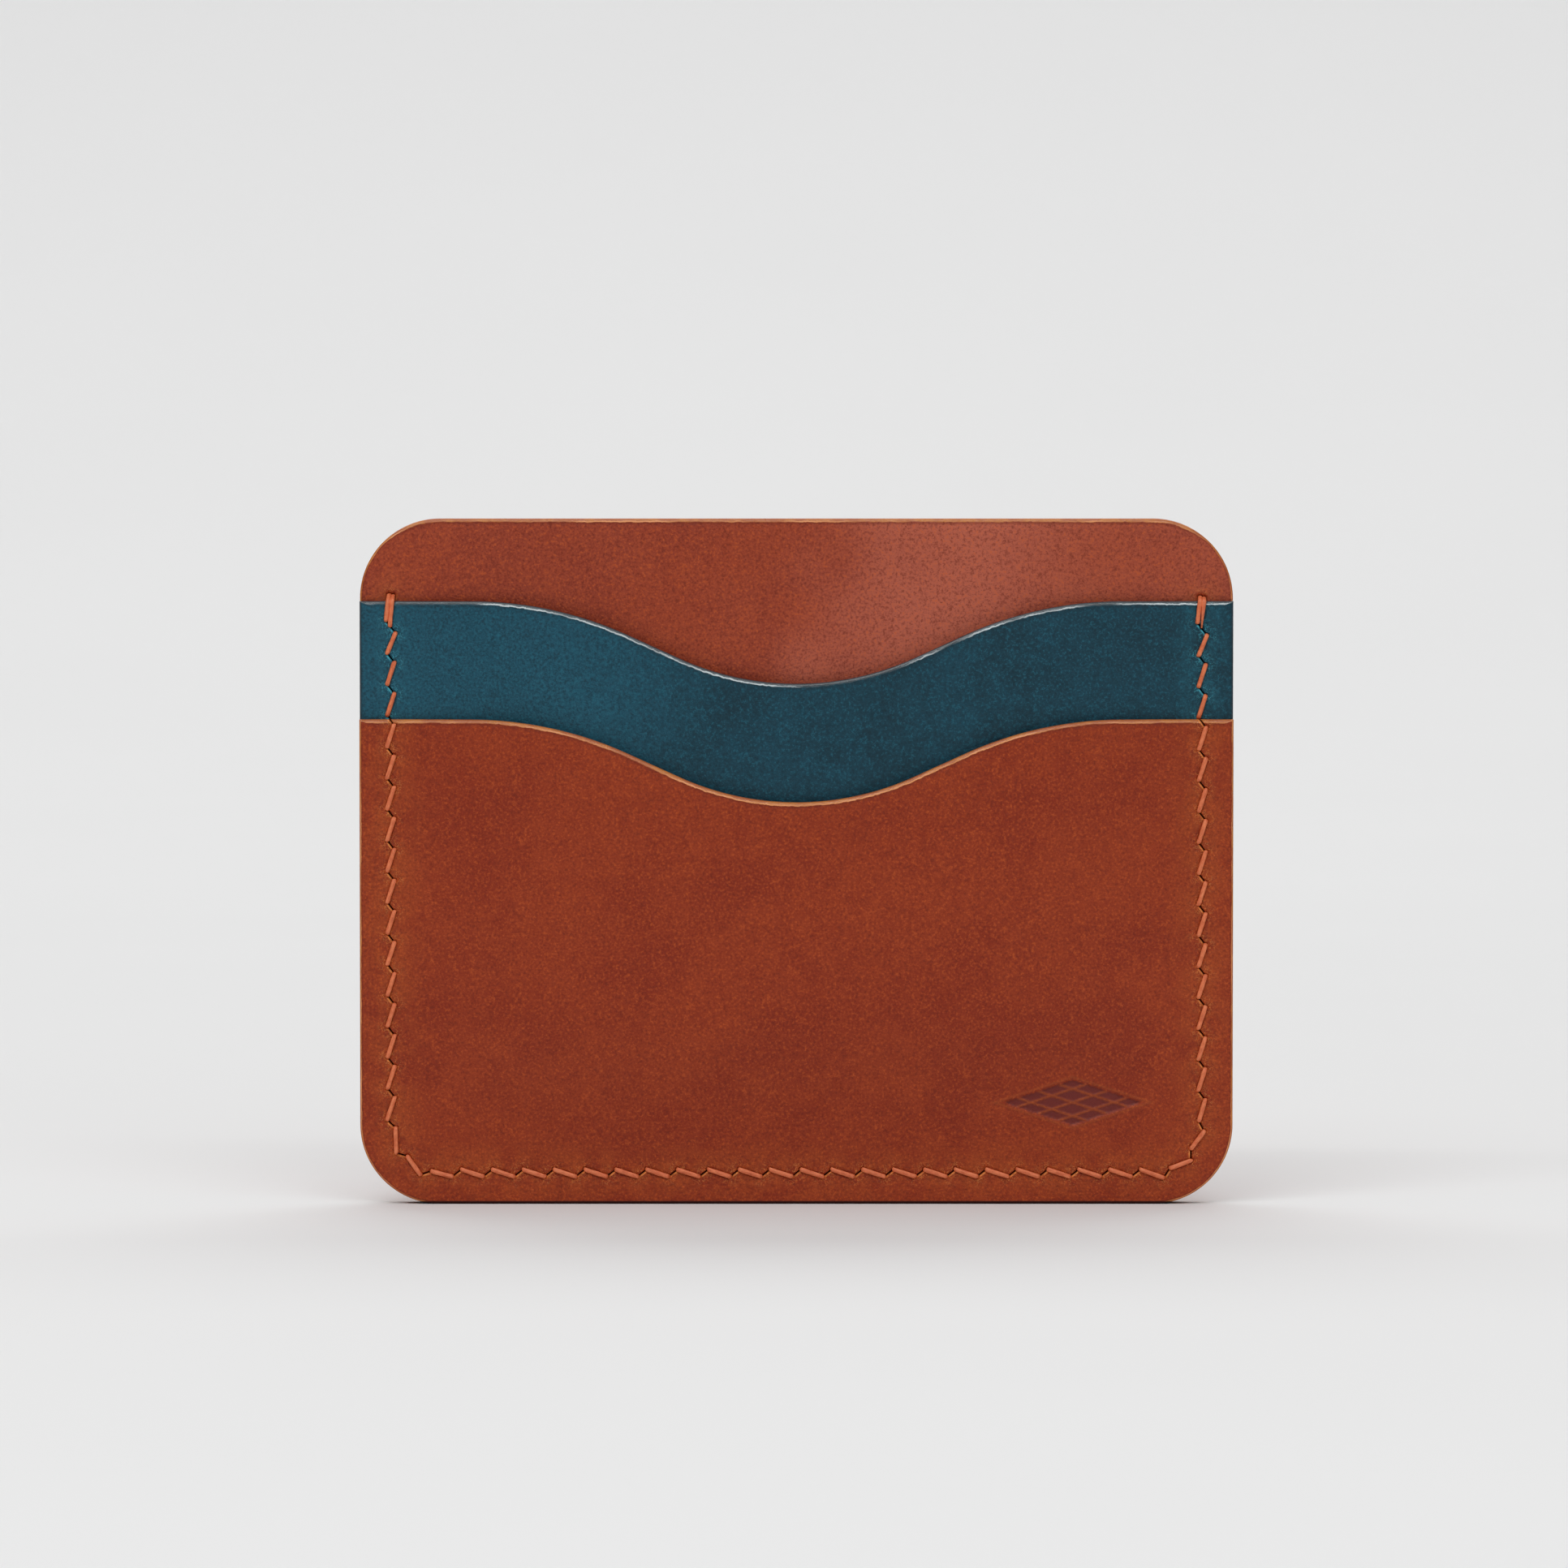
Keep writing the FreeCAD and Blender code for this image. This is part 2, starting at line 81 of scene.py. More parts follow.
SEAM_INSET = 3.4
SIDE_PITCH = 3.4
BOTTOM_PITCH = 3.38
SIDE_STITCHES = 17
BOTTOM_STITCHES = 24
LEFT_TOP_HOLE = 66.6
RIGHT_TOP_HOLE = 66.35
CORNER_HOLE = (43.2, 5.42)
SLIT_LEAN = math.radians(37.4)
STRAND_SPACING = 1.27
WIDE_SLIT_FACTOR = 1.35
TOP_SLIT_LEAN = math.radians(75)
TOP_STRAND_SPACING = 0.43
MIDDLE_STRAND = 0.16

THREAD_WIDTH = 0.49
THREAD_HEIGHT = 0.36
THREAD_RISE = 0.07
SHORTEST_STITCH = 0.1
EDGE_GAP_ABOVE = 0.05
EDGE_GAP_FRONT = 0.06

# Steps along and across the seam from a slit to where the thread passes it on the rear.
REAR_DETOUR = (0.3, 0.46)
REAR_BESIDE = (1.1, 0.12)

# How far the leather is drawn down along the seam, under each stitch and inside a slit, and how
# far it is pushed up beside a slit.
SEAM_SINK = 0.07
SEAM_SINK_REACH = 1.4
FURROW_DEPTH = 0.12
FURROW_REACH = 0.28
SLIT_DEPTH = 0.62
SLIT_HALF_WIDTH = 0.075
SLIT_BORE = 0.19
TOP_SLIT_BORE = 0.30
LIP_HEIGHT = 0.09
LIP_OFFSET = 0.17
LIP_HALF_WIDTH = 0.085
LIP_FADE = (0.38, 0.24)
CREASE_FADE = (1.5, 0.2)
SEAM_WARMTH = (4.5, 0.5)
SLIT_NEIGHBOURHOOD = 2.2
SEAM_NEIGHBOURHOOD = 2.4

# Section of a burnished edge: depth below the face at each distance in from the cut edge. Its
# inner part is a flat bevel, with a faint crease a little further in.
EDGE_DISTANCES = (0.0, 0.02, 0.06, 0.12, 0.20, 0.30, 0.42)
EDGE_DEPTHS = (0.36, 0.27, 0.19, 0.13, 0.085, 0.045, 0.0)
EDGE_WIDTH = EDGE_DISTANCES[-1]
CREASE_DISTANCE = 0.52
CREASE_DEPTH = 0.022
CREASE_HALF_WIDTH = 0.06
SIDE_EDGE_SHARE = 0.5
HIDDEN_EDGE_WIDTH = 0.15
BLUE_HIDDEN_EDGE_WIDTH = 0.13
BLUE_EDGE_WIDTH = 0.35
RIM_RINGS = EDGE_DISTANCES[1:] + (0.47, CREASE_DISTANCE, 0.58)
RIM_ZONE = 0.7
THINNEST = 0.2

# Spacing of the mesh: the finest grid, then the grid's step within each distance of the seam.
FINEST_SPACING = 0.15
COARSE_STEP = 8
SEAM_STEPS = ((6.0, 4), (2.6, 2), (1.2, 1))
SLIT_RING_REACHES = (0.0, 0.05, 0.10, 0.15, 0.21, 0.28, 0.37)
OUTLINE_SPACING = 0.25
HIDDEN_OVERLAP = 1.0
FAR_AWAY = 1e9


# ---------------------------------------------------------------- numbers over many points

def smoothstep(low, high, value):
    """Smooth step from 0 at low to 1 at high."""
    share = np.clip((value - low) / (high - low), 0.0, 1.0)
    return share * share * (3.0 - 2.0 * share)


def segment_distance(points, start, end):
    """Distance of each (x, z) point to a straight segment."""
    start = np.asarray(start)
    along = np.asarray(end) - start
    share = np.clip(((points - start) @ along) / max(along @ along, 1e-12), 0.0, 1.0)
    return np.hypot(*(points - start - share[:, None] * along).T)


def nearest_segment(points, segments):
    """Distance of each point to the nearest of several segments."""
    best = np.full(len(points), FAR_AWAY)
    for start, end in segments:
        best = np.minimum(best, segment_distance(points, start, end))
    return best


def lattice_noise(points, cell, seed):
    """Smooth random field between -1 and 1 with one random value per lattice corner."""
    places = points / cell
    base = np.floor(places).astype(np.int64)
    share = places - base
    share = share * share * (3.0 - 2.0 * share)

    def corner(dx, dz):
        mixed = (base[:, 0] + dx) * 374761393 + (base[:, 1] + dz) * 668265263 + seed * 974711
        mixed = (mixed ^ (mixed >> 13)) * 1274126177
        return ((mixed ^ (mixed >> 16)) & 65535) / 32767.5 - 1.0

    low = corner(0, 0) * (1 - share[:, 0]) + corner(1, 0) * share[:, 0]
    high = corner(0, 1) * (1 - share[:, 0]) + corner(1, 1) * share[:, 0]
    return low * (1 - share[:, 1]) + high * share[:, 1]


# ---------------------------------------------------------------- outlines

def arc(centre, radius, first, last):
    """Points on an arc, without its last one. Angles in degrees."""
    steps = max(2, math.ceil(math.radians(abs(last - first)) * radius / OUTLINE_SPACING))
    angles = [math.radians(first + (last - first) * index / steps) for index in range(steps)]
    return [(centre[0] + radius * math.cos(angle), centre[1] + radius * math.sin(angle))
            for angle in angles]


def line(start, end):
    """Points on a straight stretch, without its last one."""
    steps = max(1, math.ceil(math.dist(start, end) / OUTLINE_SPACING))
    return [(start[0] + (end[0] - start[0]) * index / steps,
             start[1] + (end[1] - start[1]) * index / steps) for index in range(steps)]


def lower_half(top):
    """Outline from the left side's top, down, along the bottom and up to the right side's top."""
    inner = HALF_WIDTH - CORNER_RADIUS
    points = line((-HALF_WIDTH, top), (-HALF_WIDTH, CORNER_RADIUS))
    points += arc((-inner, CORNER_RADIUS), CORNER_RADIUS, 180, 270)
    points += line((-inner, 0), (inner, 0))
    points += arc((inner, CORNER_RADIUS), CORNER_RADIUS, 270, 360)
    points += line((HALF_WIDTH, CORNER_RADIUS), (HALF_WIDTH, top))
    return points


def back_outline():
    """Outline of the back panel: a rectangle with four rounded corners."""
    inner = HALF_WIDTH - CORNER_RADIUS
    top = HEIGHT - CORNER_RADIUS
    points = lower_half(top)
    points += arc((inner, top), CORNER_RADIUS, 0, 90)
    points += line((inner, HEIGHT), (-inner, HEIGHT))
    points += arc((-inner, top), CORNER_RADIUS, 90, 180)
    return np.array(points)


def mouth_points(top):
    """Dipped pocket mouth from the right shoulder to the left one."""
    rise = CREST_RADIUS + DIP_RADIUS - MOUTH_DEPTH
    between = math.hypot(CREST_REACH, rise)
    slope = math.atan2(CREST_REACH, rise) - math.acos((CREST_RADIUS + DIP_RADIUS) / between)
    degrees = math.degrees(slope)
    crest_z = top - CREST_RADIUS
    dip_z = top - MOUTH_DEPTH + DIP_RADIUS
    crest_end = (CREST_REACH - CREST_RADIUS * math.sin(slope),
                 crest_z + CREST_RADIUS * math.cos(slope))
    dip_end = (DIP_RADIUS * math.sin(slope), dip_z - DIP_RADIUS * math.cos(slope))
    points = line((HALF_WIDTH, top), (CREST_REACH, top))
    points += arc((CREST_REACH, crest_z), CREST_RADIUS, 90, 90 + degrees)
    points += line(crest_end, dip_end)
    points += arc((0, dip_z), DIP_RADIUS, 270 + degrees, 270 - degrees)
    points += line((-dip_end[0], dip_end[1]), (-crest_end[0], crest_end[1]))
    points += arc((-CREST_REACH, crest_z), CREST_RADIUS, 90 - degrees, 90)
    points += line((-CREST_REACH, top), (-HALF_WIDTH, top))
    return points


def pocket_outline(top):
    """Outline of a pocket panel: rounded lower corners and a dipped mouth."""
    return np.array(lower_half(top) + mouth_points(top))


def inset(outline, distance):
    """The outline moved inward, with mitred corners."""
    before = outline - np.roll(outline, 1, axis=0)
    after = np.roll(outline, -1, axis=0) - outline
    before /= np.linalg.norm(before, axis=1)[:, None]
    after /= np.linalg.norm(after, axis=1)[:, None]
    normal = np.stack([-(before[:, 1] + after[:, 1]), before[:, 0] + after[:, 0]], axis=1)
    normal /= np.linalg.norm(normal, axis=1)[:, None]
    mitre = normal[:, 0] * -before[:, 1] + normal[:, 1] * before[:, 0]
    return outline + normal * (distance / np.maximum(mitre, 0.5))[:, None]


def rounded_distance(across, up):
    """Distance inside a rounded corner, from the distances past its centre in each direction."""
    beyond = np.hypot(np.maximum(across, 0.0), np.maximum(up, 0.0))
    return CORNER_RADIUS - np.where((across > 0) & (up > 0), beyond, np.maximum(across, up))


def mouth_distance(points, mouth):
    """Distance of each point below a pocket mouth, negative above it."""
    order = mouth[::-1]
    gap = np.interp(points[:, 0], order[:, 0], order[:, 1]) - points[:, 1]
    close = np.abs(gap) < MOUTH_NEIGHBOURHOOD
    distance = gap.copy()
    exact = nearest_segment(points[close], list(zip(mouth, mouth[1:])))
    distance[close] = np.sign(gap[close]) * exact
    return distance


# ---------------------------------------------------------------- seam

def side_holes(sign, top):
    """Slit centres of one side, from the top down to the corner."""
    side_x = HALF_WIDTH - SEAM_INSET
    row = [(sign * side_x, top - SIDE_PITCH * index) for index in range(SIDE_STITCHES + 1)]
    return row + [(sign * CORNER_HOLE[0], CORNER_HOLE[1])]


def seam_holes():
    """Slit centres in sewing order: down the left side, along the bottom, up the right side."""
    bottom = [(BOTTOM_PITCH * (index - BOTTOM_STITCHES / 2), SEAM_INSET)
              for index in range(BOTTOM_STITCHES + 1)]
    return side_holes(-1, LEFT_TOP_HOLE) + bottom + side_holes(1, RIGHT_TOP_HOLE)[::-1]


def unit(vector):
    """The vector at a length of 1."""
    length = math.hypot(*vector)
    return (vector[0] / length, vector[1] / length)


class Slit:
    """One slanted slit: near faces the stitch before it and far the stitch after it."""

    def __init__(self, holes, index):
        before = holes[max(index - 1, 0)]
        here = holes[index]
        after = holes[min(index + 1, len(holes) - 1)]
        steps = [unit(step) for step in ((here[0] - before[0], here[1] - before[1]),
                                         (after[0] - here[0], after[1] - here[1]))
                 if step != (0, 0)]
        self.centre = here
        self.along = unit((sum(step[0] for step in steps), sum(step[1] for step in steps)))
        self.across = (-self.along[1], self.along[0])
        self.wide = index in (1, len(holes) - 2)
        self.top = index in (0, len(holes) - 1)
        half = STRAND_SPACING / 2 * (WIDE_SLIT_FACTOR if self.wide else 1)
        lean = SLIT_LEAN
        if self.top:
            half = TOP_STRAND_SPACING / 2
            lean = TOP_SLIT_LEAN
        self.near = self.at(-half * math.cos(lean), -half * math.sin(lean))
        self.far = self.at(half * math.cos(lean), half * math.sin(lean))
        self.ahead = unit((self.far[0] - self.near[0], self.far[1] - self.near[1]))
        side = (self.ahead[1], -self.ahead[0])
        self.down = side if side[1] < 0 else (-side[0], -side[1])
        middle = MIDDLE_STRAND * half * (1 if index == 1 else -1)
        self.middle = self.at(-middle * math.cos(lean), -middle * math.sin(lean))

    def at(self, along, across):
        """The place at some distance along the seam and across it from the slit's centre."""
        return (self.centre[0] + along * self.along[0] + across * self.across[0],
                self.centre[1] + along * self.along[1] + across * self.across[1])


holes = seam_holes()
slits = [Slit(holes, index) for index in range(len(holes))]
LAST = len(slits) - 1


def margin_y(height):
    """Front surface of the sewn margin at a height."""
    if height > MIDDLE_TOP:
        return BACK_Y
    if height > FRONT_TOP:
        return MIDDLE_Y
    return FRONT_Y


def on_front(place, level=None):
    """Route point on the front of the sewn margin, or at a given level."""
    base = margin_y(place[1]) if level is None else level
    return (place[0], base - THREAD_RISE, place[1])


def on_rear(place):
    """Route point on the rear face."""
    return (place[0], REAR_Y + THREAD_RISE, place[1])


def over_pocket_edge(place, target):
    """Route of a top stitch from its slit above the blue panel, over that panel's edge."""
    rim = MIDDLE_TOP + EDGE_GAP_ABOVE
    share = (place[1] - rim) / (place[1] - target[1])
    crossing = (place[0] + share * (target[0] - place[0]), rim)
    return [on_front(place), on_front(crossing, MIDDLE_Y - EDGE_GAP_FRONT)]


def thread_route():
    """Corners of the one thread's route, from its rear end round to its front end."""
    start = slits[1]
    finish = slits[LAST - 1]
    past, aside = REAR_DETOUR
    beside, off = REAR_BESIDE
    top = slits[0].far
    leading = over_pocket_edge(top, start.middle)[::-1]
    leading += [on_rear(top), on_rear(start.far), on_front(start.far)]
    for index in range(2, LAST - 1, 2):
        leading += [on_front(slits[index].near), on_rear(slits[index].near)]
        if slits[index + 1].wide:
            leading.append(on_rear(slits[index + 1].at(-past, aside)))
        leading += [on_rear(slits[index + 1].far), on_front(slits[index + 1].far)]
    end = slits[LAST].far
    leading += over_pocket_edge(end, finish.far)[::-1]
    leading += [on_rear(end), on_rear(finish.at(beside, off)), on_rear(finish.middle)]

    top = slits[0].near
    trailing = [on_rear(start.at(-beside, -off)), on_rear(top)]
    trailing += over_pocket_edge(top, start.near)
    trailing += [on_front(start.near), on_rear(start.near), on_rear(start.at(past, -aside))]
    for index in range(2, LAST, 2):
        trailing += [on_rear(slits[index].far), on_front(slits[index].far)]
        trailing += [on_front(slits[index + 1].near), on_rear(slits[index + 1].near)]
    end = slits[LAST].near
    trailing.append(on_rear(end))
    trailing += over_pocket_edge(end, finish.middle)
    trailing.append(on_front(finish.middle))
    return leading[::-1] + [on_front(start.middle), on_rear(start.middle)] + trailing


route = thread_route()


def stitches_on(level_test):
    """Stretches of the thread that lie on a face, as pairs of (x, z)."""
    stretches = [((a[0], a[2]), (b[0], b[2])) for a, b in zip(route, route[1:])
                 if level_test(a[1]) and level_test(b[1])]
    return [stretch for stretch in stretches if math.dist(*stretch) > SHORTEST_STITCH]


front_stitches = stitches_on(lambda y: y < BACK_Y)
rear_stitches = stitches_on(lambda y: y > REAR_Y)
SEAM_LINE = list(zip(holes, holes[1:]))


def slit_relief(points):
    """Openness of the slits, the raised lip on their lower side and the distance to them."""
    opening = np.zeros(len(points))
    lip = np.zeros(len(points))
    distance = np.full(len(points), FAR_AWAY)
    for slit in slits:
        close = np.hypot(*(points - slit.centre).T) < SLIT_NEIGHBOURHOOD
        if not close.any():
            continue
        spot = points[close]
        to_line = segment_distance(spot, slit.near, slit.far)
        ends = [slit.near, slit.far] + ([slit.middle] if slit.wide else [])
        to_end = np.min([np.hypot(*(spot - end).T) for end in ends], axis=0)
        bore = TOP_SLIT_BORE if slit.top else SLIT_BORE
        value = np.exp(-1.2 * np.minimum(to_line / SLIT_HALF_WIDTH, to_end / bore) ** 2)
        opening[close] = np.maximum(opening[close], value)
        below = (spot - slit.near) @ np.array(slit.down)
        raised = np.exp(-((below - LIP_OFFSET) / LIP_HALF_WIDTH) ** 2)
        raised = raised * smoothstep(*LIP_FADE, to_line)
        lip[close] = np.maximum(lip[close], raised)
        distance[close] = np.minimum(distance[close], to_line)
    return opening, lip, distance


def seam_relief(points, stitches):
    """Depth below the leather's surface along the seam, and the masks that colour it."""
    to_seam = nearest_segment(points, SEAM_LINE)
    depth = SEAM_SINK * np.exp(-(to_seam / SEAM_SINK_REACH) ** 2)
    masks = {name: np.zeros(len(points)) for name in ("slit", "lip", "crease")}
    masks["seam"] = smoothstep(*SEAM_WARMTH, to_seam)
    close = to_seam < SEAM_NEIGHBOURHOOD
    spot = points[close]
    opening, lip, to_slit = slit_relief(spot)
    furrow = np.exp(-(nearest_segment(spot, stitches) / FURROW_REACH) ** 2)
    near_slit = smoothstep(*CREASE_FADE, to_slit) * (1 - opening)
    uneven = 0.8 + 0.5 * lattice_noise(spot, cell=0.4, seed=9)
    depth[close] += FURROW_DEPTH * furrow + SLIT_DEPTH * opening
    depth[close] -= LIP_HEIGHT * lip * (1 - 0.7 * furrow) * uneven
    masks["slit"][close] = opening
    masks["lip"][close] = lip * (1 - opening)
    masks["crease"][close] = near_slit
    return depth, masks


# ---------------------------------------------------------------- pressed ornament

MARK_CENTRE = (30.2, 11.2)
MARK_HALF = (8.3, 2.75)
MARK_LATTICE = 1.5
MARK_DEPTH = 0.20
MARK_LINE_HALF_WIDTH = 0.12
MARK_BORDER_HEIGHT = 0.07
MARK_BORDER_HALF_WIDTH = 0.13


def mark_relief(points):
    """Depth of a plain pressed lozenge, and masks of its sunk field and its raised lines."""
    across = (points[:, 0] - MARK_CENTRE[0]) / MARK_HALF[0]
    up = (points[:, 1] - MARK_CENTRE[1]) / MARK_HALF[1]
    reach = np.abs(across) + np.abs(up)
    narrow = MARK_HALF[1]
    field = smoothstep(0.92, 0.88, reach)
    border = np.exp(-(((reach - 1.03) * narrow) / MARK_BORDER_HALF_WIDTH) ** 2)
    cells = MARK_LATTICE / narrow
    rising = (across + up) / cells
    falling = (across - up) / cells
    to_line = np.minimum(np.abs(rising - np.round(rising)), np.abs(falling - np.round(falling)))
    lattice = np.exp(-((to_line * MARK_LATTICE) / MARK_LINE_HALF_WIDTH) ** 2)
    depth = MARK_DEPTH * field * (1 - 0.8 * lattice) - MARK_BORDER_HEIGHT * border
    pressed = field * (1 - lattice)
    ridge = np.maximum(0.8 * field * lattice, 0.55 * border)
    return depth, pressed, ridge


# ---------------------------------------------------------------- leather panels

def pillow(points):
    """How far a pocket panel stands forward, from 0 at the seams to 1 in the middle."""
    first = FLAT_MARGIN - 1
    last = FLAT_MARGIN + PILLOW_RAMP
    side = smoothstep(first, last, HALF_WIDTH - np.abs(points[:, 0]))
    foot = smoothstep(first, last, points[:, 1])
    return side * foot


def slow_waves(points, seed):
    """Gentle unevenness of a leather sheet, a few hundredths of a millimetre."""
    wide = lattice_noise(points, cell=17.0, seed=seed)
    short = lattice_noise(points, cell=6.0, seed=seed + 1)
    return 0.05 * wide + 0.018 * short


def edge_drop(distance, width):
    """Depth of a burnished edge of some width below the face."""
    scale = width / EDGE_WIDTH
    off_crease = (distance / scale - CREASE_DISTANCE) / CREASE_HALF_WIDTH
    crease = CREASE_DEPTH * np.exp(-off_crease ** 2)
    return (np.interp(distance / scale, EDGE_DISTANCES, EDGE_DEPTHS) + crease) * scale


class Panel:
    """One sheet of leather: its outline, its two faces and how its edges are finished."""

    seed = 21
    lift = 0.0
    seen_above = 0.0
    fine_faces = ("front",)
    side_shine = 1.0

    def lower_distance(self, points):
        """Distance in from the sides, the lower corners and the bottom."""
        inner = HALF_WIDTH - CORNER_RADIUS
        return rounded_distance(np.abs(points[:, 0]) - inner, CORNER_RADIUS - points[:, 1])

    def distance(self, points):
        """Distance in from the cut edge, negative outside the panel."""
        return np.minimum(self.lower_distance(points), mouth_distance(points, self.mouth))

    def upper_edge(self, points):
        """1 along the mouth, which is burnished wide, and 0 along the sides and the bottom."""
        nearer = self.lower_distance(points) - mouth_distance(points, self.mouth)
        return smoothstep(0.0, 0.5, nearer)

    def edge_share(self, points):
        """Width of the burnished edge as a share of the mouth's."""
        return SIDE_EDGE_SHARE + (1 - SIDE_EDGE_SHARE) * self.upper_edge(points)

    def front_edge(self, points):
        """Width of the burnished edge on the front."""
        return EDGE_WIDTH * self.edge_share(points)

    def rear_edge(self, points):
        """Width of the burnished edge on the rear."""
        return np.full(len(points), HIDDEN_EDGE_WIDTH)

    def detail(self, points, face):
        """Depth and masks of what is worked into a face."""
        if face == "front":
            return seam_relief(points, front_stitches)
        return np.zeros(len(points)), {}


class BackPanel(Panel):
    """The tan back, burnished wide on its rear and along its top."""

    name = "back_leather"
    seed = 11
    outline = back_outline()
    front_y = BACK_Y
    rear_y = REAR_Y
    seen_above = MIDDLE_TOP - MOUTH_DEPTH - HIDDEN_OVERLAP
    fine_faces = ("front", "rear")

    def distance(self, points):
        inner = HALF_WIDTH - CORNER_RADIUS
        middle = HEIGHT / 2
        return rounded_distance(np.abs(points[:, 0]) - inner,
                                np.abs(points[:, 1] - middle) - (middle - CORNER_RADIUS))

    def upper_edge(self, points):
        return smoothstep(HEIGHT - 3.0, HEIGHT - 0.8, points[:, 1])

    def front_edge(self, points):
        exposed = smoothstep(MIDDLE_TOP - 1.5, MIDDLE_TOP - 0.2, points[:, 1])
        seen_width = EDGE_WIDTH * self.edge_share(points)
        return HIDDEN_EDGE_WIDTH + (seen_width - HIDDEN_EDGE_WIDTH) * exposed

    def rear_edge(self, points):
        return np.full(len(points), EDGE_WIDTH)

    def detail(self, points, face):
        stitches = front_stitches if face == "front" else rear_stitches
        depth, masks = seam_relief(points, stitches)
        if face == "front":
            # Painted sheen: the back panel's face is coloured paler, most of all right of its
            # middle, as a highlight would make it.
            masks["sheen_and_pale_tone"] = sheen_and_pale_tone(points)
        return depth, masks


class MiddlePanel(Panel):
    """The blue pocket, a little paler towards its left side."""

    name = "blue_pocket_leather"
    mouth = np.array(mouth_points(MIDDLE_TOP))
    outline = pocket_outline(MIDDLE_TOP)
    front_y = MIDDLE_Y
    rear_y = BACK_Y
    lift = POCKET_GAP
    seen_above = FRONT_TOP - MOUTH_DEPTH - HIDDEN_OVERLAP
    side_shine = 0.0

    def front_edge(self, points):
        exposed = smoothstep(FRONT_TOP - 1.5, FRONT_TOP - 0.2, points[:, 1])
        seen_width = BLUE_EDGE_WIDTH * self.edge_share(points)
        return BLUE_HIDDEN_EDGE_WIDTH + (seen_width - BLUE_HIDDEN_EDGE_WIDTH) * exposed

    def detail(self, points, face):
        depth, masks = super().detail(points, face)
        cloud = 0.8 + 0.2 * lattice_noise(points, cell=7.5, seed=43)
        masks["sheen_and_pale_tone"] = smoothstep(-4.0, -26.0, points[:, 0]) * cloud
        return depth, masks


class FrontPanel(Panel):
    """The tan front pocket with its pressed ornament."""

    name = "front_pocket_leather"
    mouth = np.array(mouth_points(FRONT_TOP))
    outline = pocket_outline(FRONT_TOP)
    front_y = FRONT_Y
    rear_y = MIDDLE_Y
    lift = 2 * POCKET_GAP

    def detail(self, points, face):
        depth, masks = super().detail(points, face)
        if face == "front":
            pressed_depth, masks["mark"], masks["ridge"] = mark_relief(points)
            depth = depth + pressed_depth
        return depth, masks


def sheen_and_pale_tone(points):
    """Where the back panel is painted paler, a painted sheen in place of a highlight: most right of
    its middle.
    """
    lean = 0.35 * (points[:, 1] - MIDDLE_TOP)
    ragged = 2.4 * lattice_noise(points, cell=5.0, seed=41)
    edge = smoothstep(-4.0, 11.0, points[:, 0] - lean + ragged)
    fade = 1 - 0.7 * smoothstep(19.0, 38.0, points[:, 0])
    cloud = 0.85 + 0.15 * lattice_noise(points, cell=6.5, seed=42)
    return (0.22 + 0.78 * edge * fade) * cloud


def graded_grid(panel, face):
    """Inner points of a face: close together near worked detail and wider elsewhere."""
    low = panel.outline.min(axis=0)
    high = panel.outline.max(axis=0)
    columns = np.arange(int((high[0] - low[0]) / FINEST_SPACING) + 1)
    rows = np.arange(int((high[1] - low[1]) / FINEST_SPACING) + 1)
    column, row = [grid.ravel() for grid in np.meshgrid(columns, rows)]
    points = np.stack([low[0] + column * FINEST_SPACING, low[1] + row * FINEST_SPACING], axis=1)
    step = np.full(len(points), COARSE_STEP)
    if face in panel.fine_faces:
        seen = (points[:, 1] > panel.seen_above) | (face == "rear")
        to_seam = nearest_segment(points, SEAM_LINE)
        for reach, finer in SEAM_STEPS:
            step = np.where(seen & (to_seam < reach), finer, step)
        if isinstance(panel, FrontPanel):
            mark = np.abs(points - MARK_CENTRE) - MARK_HALF
            step = np.where(mark.max(axis=1) < 0.4, 1, step)
    points = points[(column % step == 0) & (row % step == 0)]
    jitter = np.stack([lattice_noise(points, cell=0.11, seed=seed) for seed in (31, 32)], axis=1)
    return points + 0.2 * FINEST_SPACING * jitter


def slit_rings():
    """Points on rings around each slit, so that its lips are crisp."""
    points = []
    for slit in slits:
        for reach in SLIT_RING_REACHES:
            ahead = slit.ahead
            side = (-ahead[1], ahead[0])
            for share in np.linspace(0, 1, 12):
                spot = [slit.near[axis] + share * (slit.far[axis] - slit.near[axis])
                        for axis in (0, 1)]
                for sign in ((1, -1) if reach else (0,)):
                    points.append((spot[0] + sign * reach * side[0],
                                   spot[1] + sign * reach * side[1]))
            for end, facing in ((slit.far, 1), (slit.near, -1)):
                for turn in (np.linspace(-60, 60, 5) if reach else ()):
                    angle = math.radians(turn)
                    points.append(tuple(
                        end[axis] + reach * (facing * math.cos(angle) * ahead[axis]
                                             + math.sin(angle) * side[axis])
                        for axis in (0, 1)))
    return np.array(points)


def face_points(panel, face):
    """All points of one face; the first ones are the outline, in order."""
    rings = [inset(panel.outline, distance) for distance in RIM_RINGS]
    inner = graded_grid(panel, face)
    if face in panel.fine_faces:
        worked = slit_rings()
        if face == "front":
            worked = worked[worked[:, 1] > panel.seen_above]
        to_rim = panel.distance(worked)
        rings.append(worked[(to_rim > 0.05) & (to_rim < RIM_ZONE)])
        inner = np.concatenate([inner, worked])
    inner = inner[panel.distance(inner) > RIM_ZONE]
    return np.concatenate([panel.outline] + rings + [inner])


